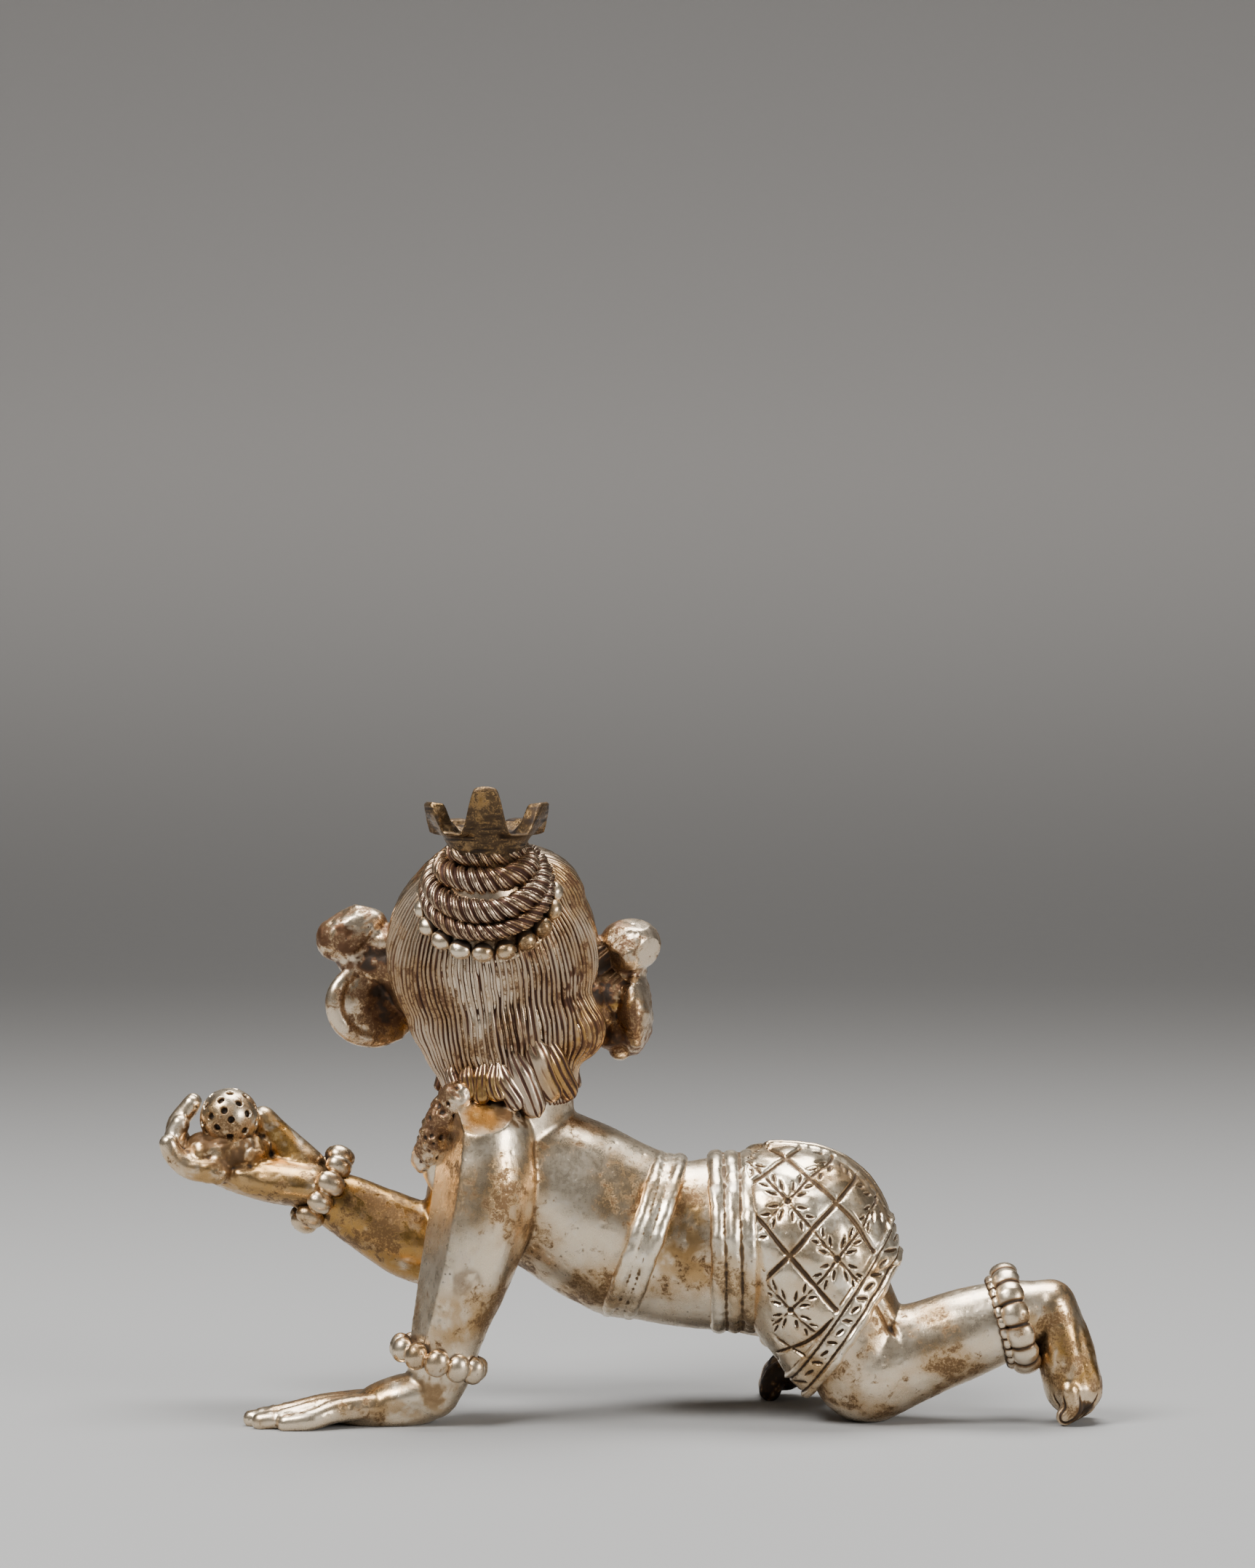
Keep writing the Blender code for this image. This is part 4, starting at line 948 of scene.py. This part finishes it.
def ropeRing(centre, axis, radius, thick, twists, strands=3):
    def laid(u, v):
        around, across = u * math.tau, v * math.tau
        twist = across * strands / math.tau + u * twists * strands + 0.25 * np.sin(around * 4)
        fold, fine = grooved(twist, 0.26, 1.4), grooved(twist * 3, 0.24, 1.4)
        r = thick * (1 - 0.30 * fold - 0.12 * fine * (1 - fold)) * (1 + 0.05 * np.sin(around * 5 + radius))
        return ringPoints(centre, axis, radius, r, around, across), np.maximum(fold, 0.45 * fine)

    return sheet(560, 56, laid)


def buildKnot():
    k = knotLook
    base = Vector(knotBase)
    top = base + Vector((-0.2, -0.1, k["height"]))
    forms = limb([(*base, k["ring"] * 0.74), (*base.lerp(top, 0.5), k["ring"] * 0.46),
                  (*top, k["ring"] * 0.28)])
    dome = fuse(forms, 0.3, 2)
    coils = []
    for share, spread, twists, thick in k["coils"]:
        axis = lean.lerp(Vector((0, 0, 1)), share).normalized()
        spot = base.lerp(top, share) + axis * k["coil"] * 0.7
        coils.append(ropeRing(spot, axis, k["ring"] * spread, k["coil"] * thick, twists))
    rope = edited(joined([dome, *coils]), turnOut)
    points = readPoints(rope)
    # grime and painted shade under the crown's foot and in the rope's folds
    grimeAndShade = np.maximum(nearTo(points, ((-11.3, -4.4, 43.6, 2.6, 0.5),)), 0.95 * recall(rope, "cut"))
    finishPiece(rope, "topknot", hairSilver, grimeAndShade, None, 5.0, 0.05, 0)
    beads = beadRing(knotBase, lean, k["ring"], k["bead"], k["beads"])
    cord = hoop(tuple(base - lean * k["bead"] * 1.15), lean, k["ring"] * 1.02, k["ring"] * 1.02, 0.30)
    ring = joined([*beads, cord])
    points = roughened(readPoints(ring), readNormals(ring), (0.04, 1.8, 31))
    writePoints(ring, points)
    # each bead is darkened on its inner side, where it meets the coils: grime and painted shade
    grimeAndShade = innerGrimeAndShade(points, base, lean, k["ring"], 0.96, 1.07)
    finishPiece(ring, "knotBeads", skinSilver, grimeAndShade, None, 6.0, 0.02)


# crown: a flared cup with five prongs, the one over the nape taller and those over the face lower

crownLook = {"rim": 4.85, "foot": 2.2, "height": 5.9, "wall": 1.3, "prongs": 5,
             "stands": (-11.1, -4.3, 43.0)}


def buildCrown():
    c = crownLook
    foot = np.array(c["stands"])
    r, h, w = c["rim"], c["height"], c["wall"]
    profile = np.array([(0.02, 0.0), (c["foot"], 0.0), (c["foot"] * 1.1, h * 0.13), (r * 0.57, h * 0.30),
                        (r * 0.70, h * 0.52), (r * 0.88, h * 0.69), (r * 0.98, h * 0.84), (r, h * 0.97),
                        (r * 0.96, h * 1.0), (r - w * 0.9, h * 0.98), (r * 0.84 - w * 0.6, h * 0.78),
                        (r * 0.60 - w * 0.4, h * 0.62), (0.02, h * 0.56)])
    run = np.concatenate([[0], np.cumsum(np.linalg.norm(np.diff(profile, axis=0), axis=1))])
    run /= run[-1]

    def laid(u, v):
        around = u * math.tau - math.pi / 2
        fromNape = around + math.pi / 2
        radius, height = np.interp(v, run, profile[:, 0]), np.interp(v, run, profile[:, 1])
        wedge = 0.5 + 0.5 * np.cos(fromNape * c["prongs"])
        overNape = np.clip(np.cos(fromNape), 0, 1) ** 8
        sharp = step(0.12, 0.84, wedge)
        overFace = step(100, 130, np.degrees(np.abs(np.arctan2(np.sin(fromNape), np.cos(fromNape)))))
        tall = (0.12 + 0.88 * sharp) * (1 + 0.50 * overNape * sharp) * (1 - 0.55 * overFace)
        low = h * 0.54
        lifted = np.where(height > low, low + (height - low) * tall, height)
        outer = step(low, h, height)
        radius = radius + outer * (0.10 * sharp - 0.35 * (1 - sharp))
        # file marks run level round the cup
        marks = fuzzAt(33, np.cos(around) * 1.4, np.sin(around) * 1.4, lifted * 7.0)
        radius = np.maximum(radius + 0.05 * marks * (radius > 1.0), 0.01)
        placed = np.stack([radius * np.cos(around), radius * np.sin(around),
                           lifted + 0.03 * np.sin(around * 2)], 1)
        return foot + placed, 0.5 - 0.9 * marks

    made = edited(modified(sheet(280, 130, laid), "SMOOTH", factor=0.4, iterations=2), turnOut)
    points = readPoints(made)
    high = points[:, 2] - foot[2]
    inside = (np.linalg.norm((points - foot)[:, :2], axis=1) < r * 0.62) & (high > h * 0.5)
    # grime and painted shade inside the cup and in the file marks, and darker towards the foot
    grimeAndShade = np.maximum(0.75 * inside, 0.7 * recall(made, "cut")) * step(-0.5, 0.2, fuzz(points, 1.2, 34))
    grimeAndShade += 0.3 * (1 - step(0.5, 3.0, high))
    tips = step(h * 0.90, h * 1.02, high)
    finishPiece(made, "crown", crownBronze, grimeAndShade * (1 - 0.9 * tips), 0.5 * tips, 4.0, 0.05)


buildKnot()
buildCrown()
print("topknot and crown done")


# cloth round the hips, belts and the band under the ribs

clothLook = {
    "voxel": 0.125,
    "thickness": 0.45,
    "line": 0.21,
    "depth": 0.17,
    "hem": 2.2,
    "wrap": 8.2,
    "dash": 1.02,
    # of each leaf nick: its place in a quarter cell, the way it runs, its half length and half width
    "nicks": ((0.50, 1.2, 0.55, 0.83, 0.66, 0.32), (0.50, 2.15, 0.55, 0.83, 0.60, 0.30),
              (1.3, 0.50, 0.83, 0.55, 0.66, 0.32), (2.3, 0.50, 0.83, 0.55, 0.60, 0.30)),
    "dot": (12.33, 18.18),  # a drilled dot on the left flank: x and height
    "fall": (4.07, -4.68),  # from one dot to the next, down and up the flank
    "climb": (3.84, 4.28),
}
# a point on each leg's hem and the way out of the cloth there
nearHem, nearWay = (18.0, -4.0, 8.0), Vector((0.83, 0.0, -0.555)).normalized()
farHem, farWay = (7.4, 6.0, 12.8), Vector((-0.93, 0.3, -0.2)).normalized()


def clothLeg(stations, hem, way):
    hip, knee, extra = bodyLook["hip"], bodyLook["knee"], clothLook["thickness"]
    sized = [(x, y, z, hip * share + extra) for x, y, z, share in stations]
    x, y, z, share = stations[-1]
    sized[-1] = (x, y, z, knee * share + extra)  # the last station lies at the knee
    return cutOff(limb(sized, ends=False, sides=28, turns=20)[0], hem, way)


def buildCloth():
    c = clothLook
    near = clothLeg([(11.4, -0.4, 14.0, 1.06), (13.75, -2.2, 13.85, 0.99), (15.65, -3.3, 9.7, 0.86),
                     (18.6, -4.0, 4.8, 1.10)], nearHem, nearWay)
    far = clothLeg([(11.4, 0.4, 14.0, 1.06), (13.75, 2.2, 14.1, 0.99), (9.8, 4.9, 13.4, 0.84),
                    (5.4, 6.7, 12.1, 1.04)], farHem, farWay)
    hips = limb([(10.6, 0.0, 13.9, 7.0), (13.6, 0.0, 14.0, 6.7)], 0.95)
    made = fuse([near, far, *hips], c["voxel"], 6)
    points, facings = readPoints(made), readNormals(made)
    radius = c["wrap"]

    # the lattice is measured along the round of the hips
    def arc(value, middle):
        return middle + radius * np.arcsin(np.clip((value - middle) / radius, -0.97, 0.97))

    x = np.where(points[:, 0] > 13.5, arc(points[:, 0], 13.5), points[:, 0])
    p, q = x - c["dot"][0], arc(points[:, 2], 13.5) - c["dot"][1]
    (fallX, fallZ), (climbX, climbZ) = c["fall"], c["climb"]
    whole = fallX * climbZ - fallZ * climbX
    wobble = 0.035 * fuzz(points, 0.35, 40)
    g = (p * climbZ - q * climbX) / whole + wobble
    k = (fallX * q - fallZ * p) / whole + wobble
    cellG, cellK = math.hypot(fallX, fallZ), math.hypot(climbX, climbZ)
    pastBelt = step(10.2, 10.8, points[:, 0] + 0.16 * (points[:, 2] - 13))
    flank = step(0.8, 2.0, np.abs(points[:, 1])) * pastBelt

    def cut(value, cell, width):
        return 1 - step(width * 0.35, width, np.abs(value - np.round(value)) * cell)

    come = step(-0.45, 0.1, fuzz(points, 0.9, 41))
    heavy = c["line"] * 1.35
    thick = np.maximum(cut(g + 0.5, cellG, heavy), cut(k + 0.5, cellK, heavy))
    thin = np.maximum(cut(g, cellG, c["line"]), cut(k, cellK, c["line"])) * (0.5 + 0.5 * come)
    nearG, nearK = np.abs(g - np.round(g)) * cellG, np.abs(k - np.round(k)) * cellK
    dots = 1 - step(0.20, 0.34, np.hypot(nearG, nearK))
    # leaf nicks: short cuts that stand round each dot, wide at one end and drawn out at the other
    nick = np.zeros(len(points))
    for a, b, wayA, wayB, long, wide in c["nicks"]:
        along = ((nearG - a) * wayA + (nearK - b) * wayB) / long
        off = (nearG - a) * -wayB + (nearK - b) * wayA
        tapered = off / (wide * (0.6 - 0.4 * np.clip(along, -1, 1)))
        nick = np.maximum(nick, 1 - step(0.35, 1.0, np.hypot(along, tapered)))
    depth = c["depth"] * np.maximum.reduce([1.5 * thick, thin, 1.9 * dots, 1.45 * nick]) * flank
    # squares swell between the lines
    pillow = 0.17 * np.abs(np.sin(g * math.tau) * np.sin(k * math.tau)) * flank
    pillow += 0.07 * fuzz(points, 0.9, 43) * flank
    # hem: a border band with two ridges and short dashes
    nearSide = points[:, 1] < 1.5
    inside = -np.where(nearSide, (points - nearHem) @ np.array(nearWay),
                       (points - farHem) @ np.array(farWay))
    border = 1 - step(c["hem"] - 0.08, c["hem"] + 0.08, inside)
    along = (points - nearHem) @ np.array((0.555, 0.0, 0.83))
    run = np.where(nearSide, along, points[:, 2] * 0.9 + points[:, 0] * 0.2) / c["dash"]
    a = (run - np.round(run)) * c["dash"]
    b = inside - c["hem"] * 0.56
    steep = np.hypot((a * 0.86 + b * 0.5) / 0.17, (a * 0.5 - b * 0.86) / 0.52)
    flat = np.hypot((a * 0.95 - b * 0.3) / 0.46, (a * 0.3 + b * 0.95) / 0.17)
    dashes = (1 - step(0.5, 1.1, np.where(np.round(run) % 2 < 0.5, steep, flat))) * border
    ridges = np.maximum(band(inside, 0.26, 0.16), band(inside, c["hem"], 0.15))
    groove = np.maximum(band(inside, 0.56, 0.10), band(inside, c["hem"] - 0.32, 0.10))
    depth = depth * (1 - border) + 0.24 * dashes + 0.17 * groove * border
    # a raised seam of three cords follows the spine over the hips
    spine = np.abs(points[:, 1] + 0.2)
    behind = (points[:, 2] > 8) * step(10.4, 11.4, points[:, 0])
    seam = (1 - step(1.0, 1.4, spine)) * behind
    lines = np.maximum(band(spine, 1.5, 0.13), band(spine, 0.55, 0.11)) * behind
    lift = 0.12 * border + 0.20 * ridges + 0.26 * seam - 0.20 * lines + pillow + 0.03 * fuzz(points, 1.3, 42)
    points = points + facings * (lift - depth)[:, None]
    writePoints(made, points)
    # carved lines, dots, nicks, hem dashes and the seam's side lines get grime and painted shade
    carved = np.maximum.reduce([0.56 * thick, 0.42 * thin, 0.95 * dots, 0.32 * nick]) * flank * (1 - border)
    grimeAndShade = np.maximum.reduce([carved, 0.4 * dashes, 0.45 * groove * border, 0.5 * lines])
    gild = nearTo(points, ((12.6, -6.5, 8.6, 2.2, 0.6), (14.0, -8.8, 5.0, 1.8, 0.4)))
    finishPiece(made, "hipCloth", clothSilverPaintedLight, grimeAndShade, gild, 5.0, 0.0, 1)


beltLook = {"ridge": 0.42, "voxel": 0.14}


def buildBelts():
    t = bodyLook["torso"]
    r = beltLook["ridge"]
    forms = []
    # a band of three cords under the ribs
    for back, swell in ((-1, 1.5), (0, 1.2), (1, 1.5)):
        forms.append(hoop((1.2 + 0.82 * back, -0.2, 14.35 - 0.1 * back), (0.945, 0.0, -0.327), t * 0.965,
                          t * 0.885, r * swell))
    # three belts at the waist, with two lower rounds between them
    for start, count, wide, deep, swell in ((7.0, 3, 1.05, 0.93, 1.6), (7.6, 2, 1.0, 0.89, 1.3)):
        for number in range(count):
            forms.append(hoop((start + 1.25 * number, -0.1, 13.8), (1.0, 0.0, 0.02),
                              t * (wide + 0.02 * number), t * deep, r * swell))
    made = fuse(forms, beltLook["voxel"], 2)
    points, facings = readPoints(made), readNormals(made)
    turn = np.arctan2(points[:, 1], points[:, 2] - 14)
    crumple = fuzzAt(50, turn * 5, points[:, 0] * 0.5)
    points += facings * (0.14 * crumple + 0.05 * fuzz(points, 1.6, 51))[:, None]
    writePoints(made, points)
    gild = nearTo(points, ((5.8, -6.0, 14.0, 2.2, 0.6),))
    finishPiece(made, "waistBelts", clothSilverPaintedLight, None, gild, 6.0, 0.0, 2)


buildCloth()
buildBelts()
print("cloth done")


# bead bracelets, anklets, the garland and the sweet ball

beadLook = {"size": 0.93, "bracelet": 3.15, "anklet": 3.7, "farAnklet": 3.1, "count": 11}


def anklet(centre, axis, radius, thick, count, skewed):
    def laid(u, v):
        gap = grooved((u * count) % 1.0, 0.5, 0.35)
        r = thick * (1 - 0.34 * gap) * (1 + 0.05 * np.sin(np.floor(u * count) * 3.1))
        return ringPoints(centre, axis, radius, r, u * math.tau, v * math.tau, skewed), gap

    return sheet(count * 16, 24, laid)


def buildBeads():
    b = beadLook
    nearWrist, farWrist = (-14.9, -5.8, 5.3), (-24.6, 6.1, 17.3)
    nearShin, farShin = (30.35, -4.6, 8.25), (13.2, 7.5, 7.6)
    nearTurn = (0.29, 0.0, 0.957)
    ways = ((-0.86, -0.12, 0.50), (0.965, 0.0, 0.26), (0.80, 0.05, -0.60))
    farTurn, shinTurn, farShinTurn = (tuple(Vector(way).normalized()) for way in ways)
    wrist = b["bracelet"]
    forms = []
    for centre, axis, share, long, inner, thick in ((nearWrist, nearTurn, 1.0, 1.34, 0.90, 0.55),
                                                    (farWrist, farTurn, 0.96, 1.42, 0.86, 0.6)):
        forms += beadRing(centre, axis, wrist * share, b["size"], b["count"], long)
        forms.append(hoop(centre, axis, wrist * inner, wrist * inner, thick))
    forms.append(anklet(nearShin, shinTurn, b["anklet"], 0.84, 14, 1.35))
    forms.append(anklet((29.25, -4.6, 7.95), shinTurn, b["anklet"] * 0.91, 0.44, 26, 1.0))
    forms.append(anklet(farShin, farShinTurn, b["farAnklet"], 0.78, 13, 1.1))
    made = edited(joined(forms), turnOut)
    points = roughened(readPoints(made), readNormals(made), (0.035, 1.6, 60))
    writePoints(made, points)
    # grime and painted shade in the cuts and on each ring's inner side, against the limb
    grimeAndShade = 0.9 * recall(made, "cut")
    for centre, axis, radius in ((nearWrist, nearTurn, wrist), (farWrist, farTurn, wrist * 0.94),
                                 (nearShin, shinTurn, b["anklet"]), (farShin, farShinTurn, b["farAnklet"])):
        near = np.linalg.norm(points - centre, axis=1) < 6
        grimeAndShade = np.maximum(grimeAndShade, near * 0.8 * innerGrimeAndShade(points, centre, axis, radius, 0.90, 1.04))
    gild = nearTo(points, ((*farWrist, 5.0, 0.5), (*nearWrist, 5.0, 0.25)))
    finishPiece(made, "braceletsAndAnklets", skinSilver, grimeAndShade, gild, 6.0, 0.03, 1)


garlandLook = {"lumps": 11, "voxel": 0.16, "pit": 0.36}


def buildGarland():
    g = garlandLook
    lumps = []
    for number in range(g["lumps"]):
        angle = math.radians(-75 + 15 * number)
        spot = (-11.0 - 4.8 * math.cos(angle) ** 0.45, -0.2 + 4.5 * math.sin(angle),
                27.4 - 6.9 * math.cos(angle))
        lumps.append(bulb(spot, (1.38, 1.34, 1.4), (0, 20 * (number % 3), 0), 10))
        lumps += limb([(*spot, 1.05), (-13.9, -0.2, 21.8, 1.3)], turns=4)
    made = fuse(lumps, g["voxel"], 1)
    points, facings = readPoints(made), readNormals(made)
    points = roughened(points, facings, (0.22, 0.9, 70), (0.08, 2.6, 71))
    points, marks = pitted(points, facings, 90, g["pit"], 0.28, 72)
    writePoints(made, points)
    # the pits get grime and painted shade
    finishPiece(made, "garland", earSilver, marks * 0.8, None, 4.0, 0.12)


ballLook = {"radius": 2.38, "holes": 46, "holeReach": 0.34, "holeDepth": 0.38}
goldenAngle = 2.39996


def buildBall():
    b = ballLook
    centre = np.array((-32.0, 5.3, 23.1))
    bpy.ops.mesh.primitive_ico_sphere_add(subdivisions=7, radius=b["radius"] * mm,
                                          location=place(tuple(centre)))
    made = bpy.context.active_object
    bpy.ops.object.transform_apply(location=True, rotation=True, scale=True)
    points = readPoints(made)
    way = unit(points - centre)
    holes = np.zeros(len(points))
    picker = np.random.default_rng(4)
    for number in range(b["holes"]):
        z = 1 - 2 * (number + 0.5) / b["holes"]
        turn = number * goldenAngle + picker.uniform(-0.15, 0.15)
        flat = math.sqrt(1 - z * z)
        spot = unit(np.array((flat * math.cos(turn), flat * math.sin(turn),
                              z + picker.uniform(-0.05, 0.05))))
        away = np.arccos(np.clip(way @ spot, -1, 1)) * b["radius"]
        holes = np.maximum(holes, 1 - step(0.20, b["holeReach"], away))
    points -= way * (b["holeDepth"] * holes)[:, None]
    points += way * (0.05 * fuzz(points, 0.8, 73))[:, None]
    writePoints(made, points)
    # the holes get grime and painted shade
    finishPiece(made, "sweetBall", skinSilver, holes * 0.95, None, 3.0, 0.0, 1)


buildBeads()
buildGarland()
buildBall()
print("beads, garland and ball done")


# room: pale floor, painted darker further back as painted shade, soft light from above left

roomLook = {
    "bendStart": 0.45,
    "bendRadius": 0.55,
    "length": 4.2,
    "front": 1.6,
    "width": 5,
    "air": 0.28,
    # of each light: place, turn in degrees, size and power
    "lights": {"keyLight": ((-0.26, -0.20, 0.40), (34, 0, -50), 0.22, 3.7),
               "fillLight": ((0.42, -0.30, 0.20), (66, 0, 54), 0.20, 2.1),
               "topLight": ((0.03, 0.12, 0.45), (-14, 0, 0), 0.28, 3.4)},
}


def buildRoom():
    # one long sheet of paper: level under the figure, then bent up behind it
    bpy.ops.mesh.primitive_grid_add(x_subdivisions=8, y_subdivisions=120, size=1, location=(0, 0, 0))
    floor = bpy.context.active_object
    floor.name = "backdropPaper"
    flat = np.empty(len(floor.data.vertices) * 3)
    floor.data.vertices.foreach_get("co", flat)
    flat = flat.reshape(-1, 3)
    far, radius = roomLook["bendStart"], roomLook["bendRadius"]
    along = (flat[:, 1] + 0.5) * roomLook["length"] - roomLook["front"]
    bend = np.clip((along - far) / radius, 0, math.pi / 2)
    past = np.maximum(along - far - radius * math.pi / 2, 0)
    laid = np.stack([flat[:, 0] * roomLook["width"], np.minimum(along, far) + radius * np.sin(bend),
                     radius * (1 - np.cos(bend)) + past], 1)
    floor.data.vertices.foreach_set("co", laid.ravel())
    floor.data.update()
    pick(floor)
    bpy.ops.object.shade_smooth()
    paper = bpy.data.materials.new("greyPaper")
    paper.use_nodes = True
    tree = paper.node_tree
    where = tree.nodes.new("ShaderNodeTexCoord").outputs["Object"]
    parts = addNode(tree, "ShaderNodeSeparateXYZ", {0: where})
    # painted light and shade: pale in front, painted darker further back, painted lighter again where the
    # paper climbs
    paintedFalloff = remap(tree, parts.outputs["Y"], 0.0, 0.40)
    rise = remap(tree, parts.outputs["Z"], -0.02, 0.10)
    colour = mixColour(tree, paintedFalloff, (0.268, 0.271, 0.275, 1), (0.120, 0.118, 0.115, 1))
    colour = mixColour(tree, rise, colour, (0.51, 0.49, 0.475, 1))
    grain = doMath(tree, "MULTIPLY", noiseOf(tree, where, 600, 4, 0.6), 0.06)
    shader = tree.nodes["Principled BSDF"]
    feed(tree, shader.inputs["Base Color"], mixColour(tree, grain, colour, (0.30, 0.30, 0.30, 1)))
    shader.inputs["Roughness"].default_value = 0.8
    floor.data.materials.append(paper)
    world = bpy.data.worlds.new("softStudio")
    world.use_nodes = True
    world.node_tree.nodes["Background"].inputs[0].default_value = (0.60, 0.60, 0.60, 1)
    world.node_tree.nodes["Background"].inputs[1].default_value = roomLook["air"]
    bpy.context.scene.world = world
    for name, (spot, turn, size, power) in roomLook["lights"].items():
        bpy.ops.object.light_add(type="AREA", location=spot, rotation=[math.radians(a) for a in turn])
        lamp = bpy.context.active_object
        lamp.name = name
        lamp.data.shape = "SQUARE"
        lamp.data.size = size
        lamp.data.energy = power
        lamp.data.color = (1.0, 0.985, 0.96)


cameraLook = {"away": 0.450, "climb": 8.5, "tilt": 2.2, "fieldWidth": 0.1239, "sensor": 36}


def buildCamera():
    away, sensor = cameraLook["away"], cameraLook["sensor"]
    height = away * math.tan(math.radians(cameraLook["climb"]))
    bpy.ops.object.camera_add(location=(0.00013, -away - 0.00131, height),
                              rotation=(math.radians(90 - cameraLook["tilt"]), 0, 0))
    camera = bpy.context.active_object
    camera.name = "closeUpCamera"
    camera.data.sensor_width = sensor
    camera.data.lens = sensor * away / cameraLook["fieldWidth"]
    camera.data.clip_start = 0.01
    camera.data.dof.use_dof = False
    bpy.context.scene.camera = camera


buildRoom()
buildCamera()
print("cad box", [round(v * 1000, 2) for v in (*cadBox[0], *cadBox[1])])
